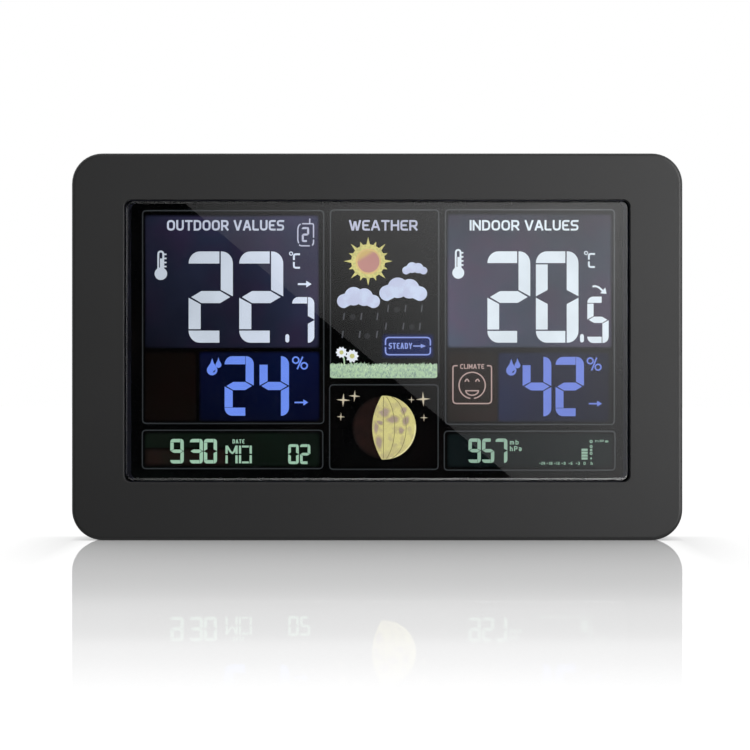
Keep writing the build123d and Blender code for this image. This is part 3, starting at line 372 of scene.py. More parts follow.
def arc(x, z, radius, start, end, steps=16, flat=1.0):
    """Points along an arc in degrees; flat squeezes its height."""
    turns = [math.radians(start + (end - start) * i / steps) for i in range(steps + 1)]
    return [(x + radius * math.cos(t), z + radius * flat * math.sin(t)) for t in turns]


def rounded(points, radius, closed=False, steps=5):
    """The same path with its corners rounded off."""
    count = len(points)
    path = []
    for i, corner in enumerate(points):
        if not closed and i in (0, count - 1):
            path.append(corner)
            continue
        here = Vector(corner)
        before = Vector(points[i - 1]) - here
        after = Vector(points[(i + 1) % count]) - here
        cut = min(radius, before.length * 0.49, after.length * 0.49)
        start = here + before.normalized() * cut
        end = here + after.normalized() * cut
        for k in range(steps + 1):
            t = k / steps
            path.append(tuple(start * (1 - t) ** 2 + here * 2 * t * (1 - t) + end * t * t))
    return path


def frame_path(left, right, bottom, top, radius):
    return rounded([(left, bottom), (right, bottom), (right, top), (left, top)], radius, closed=True)


def blob(x, z, width, height, wobble, seed, steps=36):
    """An ellipse with an uneven edge."""
    rng = random.Random(seed)
    waves = [(k, rng.uniform(0, 6.28), rng.uniform(0.3, 1.0) / k) for k in range(2, 6)]
    points = []
    for i in range(steps):
        t = 2 * math.pi * i / steps
        swell = 1 + wobble * sum(size * math.sin(k * t + phase) for k, phase, size in waves)
        points.append((x + width / 2 * swell * math.cos(t), z + height / 2 * swell * math.sin(t)))
    return points


def union_outline(x, z, discs, steps=72):
    """The outline of overlapping discs as seen from a point inside them."""
    points = []
    for i in range(steps):
        t = 2 * math.pi * i / steps
        direction = Vector((math.cos(t), math.sin(t)))
        reach = 0.0
        for cx, cz, radius in discs:
            offset = Vector((cx - x, cz - z))
            along = offset.dot(direction)
            rest = radius * radius - (offset.length_squared - along * along)
            if rest > 0:
                reach = max(reach, along + math.sqrt(rest))
        points.append((x + reach * direction.x, z + reach * direction.y))
    return points


class Ink:
    """Flat shapes of one colour on the display, gathered into one thin mesh."""

    def __init__(self, layer=2):
        self.bm = bmesh.new()
        self.front = DISPLAY_Y - LAYER_STEP * (layer + 1)

    def corners(self, x, z):
        wide, high = on_display(x, z)
        near = self.bm.verts.new((wide, self.front, high))
        far = self.bm.verts.new((wide, self.front + SHEET_THICKNESS, high))
        return near, far

    def polygon(self, points):
        area = sum(a[0] * b[1] - b[0] * a[1] for a, b in zip(points, points[1:] + points[:1]))
        if area < 0:
            points = points[::-1]
        pairs = [self.corners(x, z) for x, z in points]
        near = [pair[0] for pair in pairs]
        self.bm.faces.new(near)
        self.bm.faces.new([pair[1] for pair in reversed(pairs)])
        for (a0, a1), (b0, b1) in zip(pairs, pairs[1:] + pairs[:1]):
            self.bm.faces.new((a0, a1, b1, b0))

    def stroke(self, points, width, closed=False, round_ends=False):
        """A line of even width with mitred corners."""
        points = [Vector(p) for p in points]
        half = width / 2
        rails = []
        count = len(points)
        for i, here in enumerate(points):
            back = here - points[i - 1] if closed or i else None
            ahead = points[(i + 1) % count] - here if closed or i < count - 1 else None
            first = (back or ahead).normalized()
            second = (ahead or back).normalized()
            normal = Vector((-first.y, first.x)) + Vector((-second.y, second.x))
            if normal.length < 1e-6:
                normal = Vector((-first.y, first.x))
            normal.normalize()
            stretch = min(1.0 / max(normal.dot(Vector((-first.y, first.x))), 0.2), 2.0)
            rails.append((here, normal * half * stretch))
        if round_ends and not closed:
            rails = self.round_end(rails, 0, points[0] - points[1], half)
            rails = self.round_end(rails, -1, points[-1] - points[-2], half)
        sections = []
        for middle, side in rails:
            left = self.corners(*(middle + side))
            right = self.corners(*(middle - side))
            sections.append((left[0], right[0], right[1], left[1]))
        pairs = list(zip(sections, sections[1:]))
        if closed:
            pairs.append((sections[-1], sections[0]))
        else:
            self.bm.faces.new(sections[0])
            self.bm.faces.new(sections[-1][::-1])
        for a, b in pairs:
            for k in range(4):
                m = (k + 1) % 4
                self.bm.faces.new((a[m], a[k], b[k], b[m]))

    def round_end(self, rails, index, outwards, half):
        outwards = outwards.normalized()
        middle, side = rails[index]
        cap = []
        for step in (30, 55, 75, 88):
            t = math.radians(step)
            cap.append((middle + outwards * half * math.sin(t), side * math.cos(t)))
        return cap[::-1] + rails if index == 0 else rails + cap

    def box(self, left, right, bottom, top):
        self.polygon([(left, bottom), (right, bottom), (right, top), (left, top)])

    def disc(self, x, z, radius, steps=32):
        self.polygon(arc(x, z, radius, 0, 360, steps)[:-1])

    def ring(self, x, z, radius, width, steps=32):
        self.stroke(arc(x, z, radius, 0, 360, steps)[:-1], width, closed=True)

    def blade(self, x, z, half, lean, tall):
        """A pointed blade of grass."""
        self.polygon([(x - half, z), (x + half, z), (x + lean, z + tall)])

    def arrow(self, x0, x1, z, shaft, head_height, head_length):
        self.box(x0, x1 - head_length * 0.9, z - shaft / 2, z + shaft / 2)
        half = head_height / 2
        self.polygon([(x1 - head_length, z - half), (x1, z), (x1 - head_length, z + half)])

    def build(self, name, material, slot):
        bmesh.ops.recalc_face_normals(self.bm, faces=self.bm.faces)
        mesh = bpy.data.meshes.new(name)
        self.bm.to_mesh(mesh)
        self.bm.free()
        mesh.materials.append(material)
        return display_piece(name, mesh)


# Seven-segment digits. a is the top bar, then clockwise to f; g is the middle bar.
SEGMENTS = {
    "0": "abcdef", "1": "bc", "2": "abged", "3": "abgcd", "4": "fgbc",
    "5": "afgcd", "6": "afgedc", "7": "abc", "8": "abcdefg", "9": "abcdfg"}


def digit(ink, character, left, right, bottom, top, stroke, gap=0.12):
    """One digit; gap is a share of the stroke."""
    middle = (bottom + top) / 2
    space = stroke * gap
    round_x = stroke * 0.93
    flat = stroke / round_x
    inner = right - stroke
    slope_out = stroke * 0.06
    slope_in = stroke * 0.6
    tip = stroke * 0.22
    shoulder = stroke * 1.06
    half = stroke / 2
    upper_left = arc(left + round_x, top - stroke, round_x, 180, 90, 8, flat)
    upper_right = arc(right - round_x, top - stroke, round_x, 90, 0, 8, flat)
    lower_right = arc(right - round_x, bottom + stroke, round_x, 0, -90, 8, flat)
    lower_left = arc(left + round_x, bottom + stroke, round_x, 270, 180, 8, flat)
    shapes = {
        "a": upper_left + [(inner - space, top), (inner - space, top - stroke)],
        "b": upper_right + [(right, middle + slope_out), (inner, middle + slope_in), (inner, top)],
        "c": lower_right + [(inner, bottom), (inner, middle - slope_in), (right, middle - slope_out)],
        "d": lower_left + [(inner - space, bottom + stroke), (inner - space, bottom)],
        "e": [
            (left, bottom + stroke + space), (left, middle - slope_out),
            (left + stroke, middle - slope_in), (left + stroke, bottom + stroke + space)],
        "f": [
            (left, top - stroke - space), (left, middle + slope_out),
            (left + stroke, middle + slope_in), (left + stroke, top - stroke - space)],
        "g": [
            (left + tip, middle), (left + shoulder, middle + half), (right - shoulder, middle + half),
            (right - tip, middle), (right - shoulder, middle - half), (left + shoulder, middle - half)],
    }
    for segment in SEGMENTS[character]:
        ink.polygon(shapes[segment])


def straight(*points):
    """A letter's straight-cornered stroke: rounding, whether it closes, points."""
    return 0, False, points


def curved(rounding, *points):
    """An open stroke with its corners rounded off."""
    return rounding, False, points


def looped(rounding):
    """A closed stroke round the whole letter."""
    return rounding, True, ((0, 0), (1, 0), (1, 1), (0, 1))


LEFT_STEM = straight((0, 0), (0, 1))
RIGHT_STEM = straight((1, 0), (1, 1))
# Letters on a unit square: width, then their strokes.
LETTERS = {
    "A": (1.08, straight((0, 0), (0.43, 1), (0.57, 1), (1, 0)), straight((0.17, 0.3), (0.83, 0.3))),
    "C": (0.95, curved(0.4, (1, 1), (0, 1), (0, 0), (1, 0))),
    "D": (1.0, LEFT_STEM, curved(0.42, (0, 1), (1, 1), (1, 0), (0, 0))),
    "E": (0.88, curved(0.2, (1, 1), (0, 1), (0, 0), (1, 0)), straight((0, 0.5), (0.92, 0.5))),
    "H": (1.0, LEFT_STEM, RIGHT_STEM, straight((0, 0.5), (1, 0.5))),
    "I": (0.0, straight((0.5, 0), (0.5, 1))),
    "L": (0.82, curved(0.1, (0, 1), (0, 0), (1, 0))),
    "M": (1.2, LEFT_STEM, RIGHT_STEM, straight((0, 0.96), (0.46, 0.3), (0.54, 0.3), (1, 0.96))),
    "N": (1.02, LEFT_STEM, RIGHT_STEM, straight((0, 0.97), (1, 0.03))),
    "O": (1.08, looped(0.42)),
    "P": (0.95, LEFT_STEM, curved(0.3, (0, 1), (1, 1), (1, 0.42), (0, 0.42))),
    "R": (
        0.98, LEFT_STEM, curved(0.3, (0, 1), (1, 1), (1, 0.42), (0, 0.42)),
        straight((0.5, 0.42), (1, 0))),
    "S": (0.95, curved(0.26, (1, 1), (0, 1), (0, 0.5), (1, 0.5), (1, 0), (0, 0))),
    "T": (0.98, straight((0, 1), (1, 1)), straight((0.5, 1), (0.5, 0))),
    "U": (1.0, curved(0.42, (0, 1), (0, 0), (1, 0), (1, 1))),
    "V": (1.08, straight((0, 1), (0.43, 0), (0.57, 0), (1, 1))),
    "W": (
        1.5, straight(
            (0, 1), (0.23, 0), (0.31, 0), (0.46, 0.86), (0.54, 0.86), (0.69, 0), (0.77, 0), (1, 1))),
    "Y": (
        1.05, straight((0, 1), (0.5, 0.42)), straight((1, 1), (0.5, 0.42)),
        straight((0.5, 0.5), (0.5, 0))),
    "a": (0.75, curved(0.2, (0, 0.68), (1, 0.68), (1, 0), (0, 0), (0, 0.36), (1, 0.36))),
    "b": (0.75, straight((0, 1), (0, 0)), curved(0.25, (0, 0.68), (1, 0.68), (1, 0), (0, 0))),
    "h": (0.75, straight((0, 1), (0, 0)), curved(0.25, (0, 0.68), (1, 0.68), (1, 0))),
    "m": (
        1.1, straight((0, 0), (0, 0.68)), curved(0.2, (0, 0.68), (0.5, 0.68), (0.5, 0)),
        curved(0.2, (0.5, 0.68), (1, 0.68), (1, 0))),
    "-": (0.6, straight((0, 0.5), (1, 0.5))),
    "0": (0.75, looped(0.2)),
    "1": (0.35, straight((0, 0.8), (0.8, 1), (0.8, 0))),
    "2": (0.75, curved(0.2, (0, 1), (1, 1), (1, 0.5), (0, 0.5), (0, 0), (1, 0))),
    "3": (0.75, curved(0.2, (0, 1), (1, 1), (1, 0), (0, 0)), straight((0.2, 0.5), (1, 0.5))),
    "4": (0.75, straight((0, 1), (0, 0.4), (1, 0.4)), straight((0.8, 1), (0.8, 0))),
    "6": (0.75, curved(0.2, (1, 1), (0, 1), (0, 0), (1, 0), (1, 0.5), (0, 0.5))),
    "8": (0.75, looped(0.2), straight((0, 0.5), (1, 0.5))),
    "9": (0.75, curved(0.2, (1, 0.5), (0, 0.5), (0, 1), (1, 1), (1, 0), (0, 0))),
}
SPACE_WIDTH = 0.45


def to_the_edge(path, corners, end, half):
    """Moves a stroke's end outwards by half its width where the end lies on the letter's border."""
    u, v = corners[end]
    neighbour = path[1] if end == 0 else path[-2]
    out = Vector(path[end]) - Vector(neighbour)
    out.normalize()
    leaves_sideways = (u == 0 and out.x < -0.9) or (u == 1 and out.x > 0.9)
    leaves_upright = (v == 0 and out.y < -0.4) or (v == 1 and out.y > 0.4)
    if leaves_sideways or leaves_upright:
        path[end] = tuple(Vector(path[end]) + out * half)


def text(ink, words, left, right, bottom, top, weight=0.185, spacing=0.115):
    """Stroke lettering fitted between left and right; weight and spacing are shares of its height."""
    height = top - bottom
    line = height * weight
    natural = []
    for character in words:
        share = SPACE_WIDTH if character == " " else LETTERS[character][0]
        natural.append(share * (height - line) + (0 if character == " " else line))
    gaps = spacing * height * (len(words) - 1)
    stretch = (right - left - gaps) / sum(natural)
    x = left
    for character, width in zip(words, natural):
        width *= stretch
        if character != " ":
            for rounding, closed, points in LETTERS[character][1:]:
                path = [
                    (x + line / 2 + u * (width - line), bottom + line / 2 + v * (height - line))
                    for u, v in points]
                if not closed:
                    to_the_edge(path, points, 0, line / 2)
                    to_the_edge(path, points, -1, line / 2)
                if rounding:
                    path = rounded(path, rounding * height, closed)
                ink.stroke(path, line, closed)
        x += width + spacing * height


def percent(ink, left, right, bottom, top, line):
    ring = (right - left) * 0.2
    ink.ring(left + ring + line / 4, top - ring - line / 4, ring, line)
    ink.ring(right - ring - line / 4, bottom + ring + line / 4, ring, line)
    ink.stroke([(left + ring * 1.6, bottom), (right - ring * 1.6, top)], line)


def celsius(ink, ring_x, ring_z, left, right, bottom, top, line):
    ink.ring(ring_x, ring_z, 0.52, 0.3)
    middle = (bottom + top) / 2
    half = line / 2
    for z0, z1 in ((top - half, middle + line * 0.5), (bottom + half, middle - line * 0.5)):
        ink.stroke(rounded([(right, z0), (left + half, z0), (left + half, z1)], 0.7), line)


def thermometer(ink, tube_left, tube_right, tick_right, top, bulb_x, bulb_z, bulb_radius):
    """A thermometer picture: tube with a dark slot, ticks on its right, round bulb."""
    line = 0.62
    middle = (tube_left + tube_right) / 2
    half = (tube_right - tube_left) / 2
    slot_bottom = top - 2.6
    arch = [(tube_left + line / 2, slot_bottom)] + arc(
        middle, top - half, half - line / 2, 180, 0, 10) + [(tube_right - line / 2, slot_bottom)]
    ink.stroke(arch, line)
    waist = bulb_z + bulb_radius * 0.8
    ink.box(middle - 0.28, tube_right, waist, slot_bottom)
    ink.box(tube_left, tube_left + 0.55, waist + 0.5, slot_bottom)
    ink.polygon([(tube_left, waist + 0.5), (tube_left + 0.55, waist + 0.5), (middle - 0.28, waist - 0.7),
                 (tube_left - 0.1, waist - 0.6)])
    ink.disc(bulb_x, bulb_z, bulb_radius)
    for i in range(4):
        z = top - 1.25 - i * 1.33
        ink.stroke([(tube_right - 0.1, z), (tick_right, z)], 0.5)


def drops(ink, left, bottom, top):
    """Two water drops, the smaller one behind."""
    height = top - bottom

    def drop(x, z, radius, tall):
        round_part = arc(x, z, radius, -215, 35, 22)
        waist, shoulder = radius * 0.32, z + tall * 0.58
        return round_part + [(x + waist, shoulder), (x, z + tall), (x - waist, shoulder)]

    big = height * 0.29
    ink.polygon(drop(left + big, bottom + big, big, height * 0.66))
    small = height * 0.165
    ink.polygon(drop(left + height * 0.64, bottom + height * 0.58, small, height * 0.42))


def highlight(ink, left, bottom, top):
    height = top - bottom
    big = height * 0.29
    x = left + big * 1.35
    z = bottom + big * 0.8
    ink.polygon([(x - 0.45, z - 0.5), (x - 0.1, z + 0.05), (x + 0.55, z + 0.55), (x + 0.25, z - 0.3)])


# An unlit display surface under its own glow.
DARK_CELL = dict(Base_Color=(0.004, 0.004, 0.004, 1.0), Roughness=0.4, Specular_IOR_Level=0.04)


def lit(name, color, variation=0.07, fleck=None, fleck_size=900.0, split=None, **more):
    """
    A lit display area: glowing colour with cell-gap unevenness.

    fleck mottles it with another colour. split is a soft change to another colour across a line:
    (colour, a point's x and z, the direction's x and z, softness), in display millimetres.
    """
    n = Nodes(name)
    uneven = n.span(n.noise(70.0, detail=3.0), 1.0 - variation, 1.0 + variation, 0.3, 0.7)
    fine = n.span(n.noise(4200.0, detail=1.0), 0.97, 1.03, 0.3, 0.7)
    glow = color
    if fleck:
        glow = n.mix(n.rise(n.noise(fleck_size, detail=3.0), 0.46, 0.62), color, fleck)
    if split:
        other, x, z, toward_x, toward_z, softness = split
        wide, high = on_display(x, z)
        off_x = n.times(n.minus(n.axis("X"), wide), toward_x)
        off_z = n.times(n.minus(n.axis("Z"), high), toward_z)
        side = n.span(n.plus(off_x, off_z), 0.0, 1.0, -softness * MM, softness * MM, smooth=True)
        glow = n.mix(side, glow, other)
    if isinstance(glow, tuple):
        glow = (*glow, 1.0)
    return n.principled(
        Emission_Color=glow, Emission_Strength=n.times(n.times(uneven, fine), LIT_STRENGTH),
        Normal=n.bump(fine, 0.000001), **{**DARK_CELL, **more})


class Fades:
    """Areas that fade from an inner outline to an outer one: one thin mesh with a colour per point."""

    def __init__(self):
        self.vertices, self.tints, self.faces = [], [], []

    def ring(self, points, depth, tints):
        first = len(self.vertices)
        for (x, z), tint in zip(points, tints):
            wide, high = on_display(x, z)
            self.vertices.append((wide, depth, high))
            self.tints.append((*tint, 1.0))
        return range(first, len(self.vertices))

    def bridge(self, outer, inner):
        count = len(outer)
        for k in range(count):
            m = (k + 1) % count
            self.faces.append((outer[k], outer[m], inner[m], inner[k]))

    def build(self, name, nodes, power, surface, slot, hue=None):
        mesh = bpy.data.meshes.new(name)
        mesh.from_pydata(self.vertices, [], self.faces)
        attribute = mesh.color_attributes.new("tint", "FLOAT_COLOR", "POINT")
        for item, tint in zip(attribute.data, self.tints):
            item.color = tint
        colour = nodes.add("ShaderNodeVertexColor", layer_name="tint").outputs["Color"]
        if hue:
            colour = nodes.mix(1.0, colour, hue, blend="MULTIPLY")
        mesh.materials.append(
            nodes.principled(Emission_Color=colour, Emission_Strength=power, **surface))
        return display_piece(name, mesh)


def soft_patches(name, patches, rim, core, layer, slot, spread, uneven):
    """Patches (x, z, width, height) whose colour fades from core to rim; spread is wobble, core's share."""
    wobble, inner_share = spread
    fades = Fades()
    near = DISPLAY_Y - LAYER_STEP * (layer + 1)
    for index, (x, z, width, height) in enumerate(patches):
        rings = []
        for share, tint in ((1.0, rim), (inner_share, core)):
            points = blob(x, z, width * share, height * share, wobble, 20 + index)
            rings.append(fades.ring(points, near - 0.1 * LAYER_STEP * (index % 5), [tint] * len(points)))
        fades.bridge(*rings)
        fades.faces.append(tuple(rings[1]))
    n = Nodes(name + "_glow")
    power = n.span(n.noise(300.0, detail=3.0), 1.0 - uneven, 1.0 + uneven, 0.3, 0.7)
    return fades.build(name, n, power, DARK_CELL, slot)


def display_piece(name, mesh):
    piece = bpy.data.objects.new(name, mesh)
    bpy.context.scene.collection.objects.link(piece)
    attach(piece, "case")
    return piece


# ---- what the display shows ---------------------------------------------------------------------

FRAME_LINE = 0.43
FRAME_ROUNDING = 1.3


def draw_frames():
    """Thin outlines round the six areas."""
    ink = Ink(layer=1)
    areas = [
        (-77.0, -17.2, 38.1, 108.3), (-77.1, -17.5, 23.3, 36.3), (-15.7, 20.3, 23.05, 51.2),
        (22.3, 78.1, 37.8, 108.6), (21.9, 78.3, 22.8, 36.0)]
    for left, right, bottom, top in areas:
        inset = FRAME_LINE / 2
        path = frame_path(left + inset, right - inset, bottom + inset, top - inset, FRAME_ROUNDING)
        ink.stroke(path, FRAME_LINE, closed=True)
    left, right, bottom, top = -15.2, 20.3, 55.0, 108.3
    open_below = [(left, bottom), (left, top), (right, top), (right, bottom)]
    ink.stroke(rounded(open_below, FRAME_ROUNDING), FRAME_LINE)
    silver = dict(Base_Color=(0.05, 0.052, 0.055, 1.0), Metallic=1.0, Roughness=0.12)
    ink.build("display_frames", lit("frame_glow", (0.024, 0.027, 0.029), **silver), "lcd_line")


def draw_outdoor():
    title = Ink()
    text(title, "OUTDOOR VALUES", -68.8, -30.4, 101.55, 105.0)
    title.build("outdoor_title", lit("outdoor_title_white", (0.5, 0.54, 0.66)), "lcd_white")
    ink = Ink()
    digit(ink, "2", -61.7, -47.2, 64.8, 94.7, 3.95)
    digit(ink, "2", -45.1, -30.7, 64.8, 94.7, 3.95)
    digit(ink, "7", -27.75, -20.5, 64.8, 79.75, 2.1)
    ink.stroke([(-29.35, 65.5), (-29.35, 66.95)], 1.25, round_ends=True)
    celsius(ink, -28.1, 94.0, -27.5, -25.2, 89.05, 94.1, 0.62)
    ink.arrow(-25.9, -21.4, 84.0, 0.62, 2.2, 1.75)
    thermometer(ink, -71.95, -69.7, -68.95, 95.0, -70.8, 87.4, 2.05)
    brighter = ((0.69, 0.76, 0.9), -40.0, 80.0, 1.0, 0.0, 24.0)
    ink.build("outdoor_readings", lit("outdoor_white", (0.54, 0.6, 0.68), split=brighter), "lcd_white")
    sender = Ink()
    for path in (
            [(-25.6, 97.4), (-25.9, 98.3), (-25.9, 102.2), (-25.6, 103.2), (-25.0, 103.7)],
            [(-24.5, 103.8), (-20.9, 103.8), (-20.75, 103.2), (-20.75, 99.2)],
            [(-20.75, 98.6), (-20.75, 97.4), (-21.2, 96.65)],
            [(-22.0, 96.55), (-24.9, 96.55), (-25.5, 96.9)],
            [(-22.0, 103.8), (-22.0, 105.5)]):
        sender.stroke(rounded(path, 0.5), 0.42)
    digit(sender, "2", -24.6, -22.2, 97.8, 102.7, 0.66)
    sender.build("sender_badge", lit("sender_white", (0.5, 0.52, 0.66)), "lcd_white")


def draw_indoor():
    ink = Ink()
    text(ink, "INDOOR VALUES", 30.5, 66.1, 101.55, 105.0)
    digit(ink, "2", 36.25, 50.3, 64.8, 94.75, 3.85)
    digit(ink, "0", 52.15, 66.1, 64.8, 94.75, 3.85)
    digit(ink, "5", 69.0, 76.0, 64.7, 79.9, 2.05)
    ink.stroke([(67.25, 65.5), (67.25, 67.0)], 1.25, round_ends=True)
    celsius(ink, 68.6, 94.2, 69.2, 71.5, 89.3, 94.2, 0.62)
    thermometer(ink, 25.6, 27.75, 28.4, 95.5, 26.7, 87.7, 1.95)
    ink.stroke([(70.7, 83.2), (71.6, 83.35), (72.7, 83.0), (73.6, 82.2), (74.1, 81.7)], 0.62)
    ink.polygon([(73.2, 81.0), (75.3, 80.8), (74.9, 82.9)])
    ink.build("indoor_readings", lit("indoor_white", (0.72, 0.8, 0.86)), "lcd_white")


def draw_humidity():
    outside = Ink()
    digit(outside, "2", -49.9, -40.35, 40.85, 60.35, 2.65, gap=0.05)
    digit(outside, "4", -38.45, -28.8, 40.85, 60.35, 2.65, gap=0.05)
    percent(outside, -27.7, -22.7, 56.1, 60.2, 0.5)
    outside.arrow(-27.0, -22.5, 45.2, 0.5, 2.0, 1.6)
    drops(outside, -55.7, 54.1, 60.0)
    outside.build("outdoor_humidity_readings", lit("humid_blue", (0.152, 0.272, 0.86)), "lcd_blue")
    inside = Ink()
    digit(inside, "4", 47.8, 57.2, 40.7, 60.15, 2.6, gap=0.05)
    digit(inside, "2", 58.6, 67.9, 40.7, 60.15, 2.6, gap=0.05)
    percent(inside, 68.9, 73.6, 55.7, 59.9, 0.5)
    inside.arrow(69.5, 73.8, 44.8, 0.5, 2.0, 1.6)
    drops(inside, 42.4, 54.0, 59.8)
    inside.build("indoor_humidity_readings", lit("humid_lilac", (0.15, 0.22, 0.66)), "lcd_lilac")
    spots = Ink(layer=3)
    highlight(spots, -55.7, 54.1, 60.0)
    highlight(spots, 42.4, 54.0, 59.8)
    spots.build("drop_highlights", lit("drop_dark", (0.012, 0.018, 0.07)), "lcd_glow")


def draw_comfort():
    ink = Ink()
    line = 0.42
    left, right, bottom, top = 24.95, 37.6, 44.85, 57.25
    box = [(26.5, top), (left, top), (left, bottom), (right, bottom), (right, top), (36.1, top)]
    ink.stroke(rounded(box, 1.3), line)
    ink.stroke(arc(31.25, 50.8, 4.3, -82, 262, 48), line)
    for x in (29.55, 33.0):
        brow = [(x - 0.65, 52.0), (x - 0.3, 52.65), (x, 52.8), (x + 0.3, 52.65), (x + 0.65, 52.0)]
        ink.stroke(brow, line)
    mouth = arc(31.25, 49.05, 2.05, 0, -180, 18, flat=0.72)
    ink.stroke(mouth, line, closed=True)
    text(ink, "CLIMATE", 27.3, 35.2, 56.2, 57.8, weight=0.2, spacing=0.14)
    ink.build("comfort_badge", lit("comfort_rose", (0.44, 0.315, 0.29)), "lcd_rose")


def draw_trend():
    ink = Ink()
    left, right, bottom, top = 2.85, 17.55, 60.85, 66.5
    upper = [(left, 64.0), (left, top), (right, top), (right, 63.85)]
    lower = [(left, 63.35), (left, bottom), (right, bottom), (right, 63.25)]
    for path in (upper, lower):
        ink.stroke(rounded(path, 1.9), 0.46)
    text(ink, "STEADY", 3.9, 11.6, 62.75, 64.75, weight=0.2, spacing=0.13)
    ink.arrow(11.9, 16.1, 63.7, 0.45, 1.45, 1.7)
    ink.build("trend_badge", lit("trend_lilac", (0.245, 0.32, 0.73)), "lcd_lilac")


def draw_weather():
    title = Ink()
    text(title, "WEATHER", -9.1, 13.35, 101.55, 105.0)
    title.build("weather_title", lit("title_white", (0.5, 0.52, 0.66)), "lcd_white")

    sun = Ink()
    x, z, radius = -2.84, 91.5, 5.55
    sun.disc(x, z, radius, 48)
    rays = 16
    for i in range(rays):
        turn = math.radians(90 + 360 * i / rays)
        out = Vector((math.cos(turn), math.sin(turn)))
        side = Vector((-out.y, out.x)) * 0.62
        foot = out * (radius - 0.35)
        tip = out * (8.0 if i % 2 == 0 else 6.9)
        sun.polygon([(x + c.x, z + c.y) for c in (foot + side, tip, foot - side)])
    sun.build(
        "weather_sun", lit("sun_yellow", (0.66, 0.61, 0.22), fleck=(0.5, 0.47, 0.17), fleck_size=1500.0),
        "lcd_yellow")
    halo = Ink(layer=3)
    halo.ring(x + 0.1, z - 0.1, 3.95, 0.42)
    halo.build("weather_sun_halo", lit("sun_halo", (0.68, 0.46, 0.2)), "lcd_orange")
    core = Ink(layer=3)
    core.disc(x + 0.1, z - 0.1, 3.62, 40)
    ember = ((0.5, 0.245, 0.215), x - 0.75, z + 1.75, 0.51, -0.86, 0.9)
    core.build("weather_sun_core", lit("sun_ember", (0.6, 0.43, 0.16), split=ember), "lcd_orange")

    clouds = Ink()
    for x, z, width in ((12.45, 89.0, 8.4), (8.65, 82.0, 16.0), (-6.0, 79.3, 14.4)):
        puffs = ((-0.33, -0.06, 0.16), (-0.11, 0.05, 0.21), (0.13, 0.03, 0.2), (0.34, -0.07, 0.15))
        discs = [(x + a * width, z + b * width, r * width) for a, b, r in puffs]
        clouds.polygon(union_outline(x, z, discs))
    clouds.build(
        "weather_clouds",
        lit("cloud_lilac", (0.53, 0.575, 0.76), variation=0.05, fleck=(0.58, 0.66, 0.84), fleck_size=260.0),
        "lcd_white")

    rain = Ink(layer=1)
    high_drops = [(3.7, 76.05), (9.4, 76.05), (14.75, 76.05), (-10.8, 73.4), (-5.1, 73.4), (0.2, 73.4)]
    low_drops = [(3.0, 70.2), (8.7, 70.2), (14.1, 70.2), (-11.2, 67.5), (-5.6, 67.5), (0.05, 67.5)]
    for dx, dz in high_drops + low_drops:
        rain.stroke([(dx + 0.16, dz + 1.15), (dx - 0.16, dz - 1.15)], 0.46)
    rain.build("weather_rain", lit("rain_grey", (0.066, 0.070, 0.080), variation=0.2), "lcd_line")
    faint = Ink(layer=1)
    for fx, fz in ((6.6, 75.6), (-7.95, 73.2), (-3.1, 67.0), (11.5, 69.9)):
        faint.disc(fx, fz, 0.95, 18)
    faint.build("weather_sleet", lit("sleet_grey", (0.014, 0.016, 0.018), variation=0.2), "lcd_line")


def draw_meadow():
    rng = random.Random(11)
    left, right, bottom = -15.3, 19.8, 53.2
    grass = Ink()
    top = []
    x = right
    while x > left:
        top.append((x, 57.65 + 0.15 * math.sin(0.8 * x) + rng.uniform(-0.35, 0.45)))
        x -= rng.uniform(0.15, 0.4)
    outline = [(left, bottom + 0.4), (left + 0.6, bottom), (right - 0.6, bottom), (right, bottom + 0.4)]
    grass.polygon(outline + top + [(left, 57.7)])
    for i in range(90):
        x = left + (right - left) * (0.03 + 0.95 * i / 90)
        lean = rng.uniform(-0.5, 0.8)
        tall = rng.uniform(0.25, 1.1) * (0.6 + 0.4 * math.sin(0.33 * x + 0.2) ** 2)
        grass.blade(x, 57.4, 0.16, lean, 0.2 + tall)
    for stem in ([(-11.0, 60.2), (-10.7, 59.2), (-10.6, 57.0)], [(-8.4, 58.9), (-8.5, 57.0)]):
        grass.stroke(stem, 0.46)
    grass.build(
        "weather_meadow", lit("meadow_mint", (0.43, 0.6, 0.39), fleck=(0.3, 0.43, 0.33), fleck_size=1100.0),
        "lcd_mint")
    shadows = Ink(layer=3)
    for i in range(110):
        x = left + 0.7 + (right - left - 1.6) * rng.random()
        z = bottom + 0.25 + 3.4 * rng.random() ** 2.2
        shadows.blade(x, z, 0.13, rng.uniform(-0.5, 0.6), rng.uniform(0.5, 1.3))
    shadows.build("meadow_shadows", lit("meadow_deep", (0.2, 0.28, 0.26), variation=0.25), "lcd_mint")
    tips = Ink(layer=3)
    for i in range(90):
        x = left + 0.5 + (right - left - 1.0) * rng.random()
        z = 55.6 + 1.9 * rng.random()
        tips.blade(x, z, 0.11, rng.uniform(-0.45, 0.7), rng.uniform(0.5, 1.0))
    tips.build("meadow_tips", lit("meadow_pale", (0.62, 0.78, 0.54), variation=0.15), "lcd_mint")

    petals = Ink(layer=3)
    hearts = Ink(layer=4)
    for x, z, radius in ((-11.6, 61.6, 2.0), (-8.1, 60.4, 2.3)):
        count = 10
        outline = []
        for i in range(2 * count):
            turn = math.radians(180 * i / count)
            reach = radius * (1.0 if i % 2 == 0 else 0.72)
            outline.append((x + reach * math.cos(turn), z + reach * math.sin(turn)))
        petals.polygon(rounded(outline, 0.25, closed=True, steps=3))
        hearts.disc(x, z, radius * 0.34, 20)
    petals.build("weather_daisies", lit("petal_white", (0.8, 0.84, 0.9), variation=0.1), "lcd_white")
    hearts.build("daisy_heart", lit("heart_yellow", (0.56, 0.56, 0.22)), "lcd_yellow")


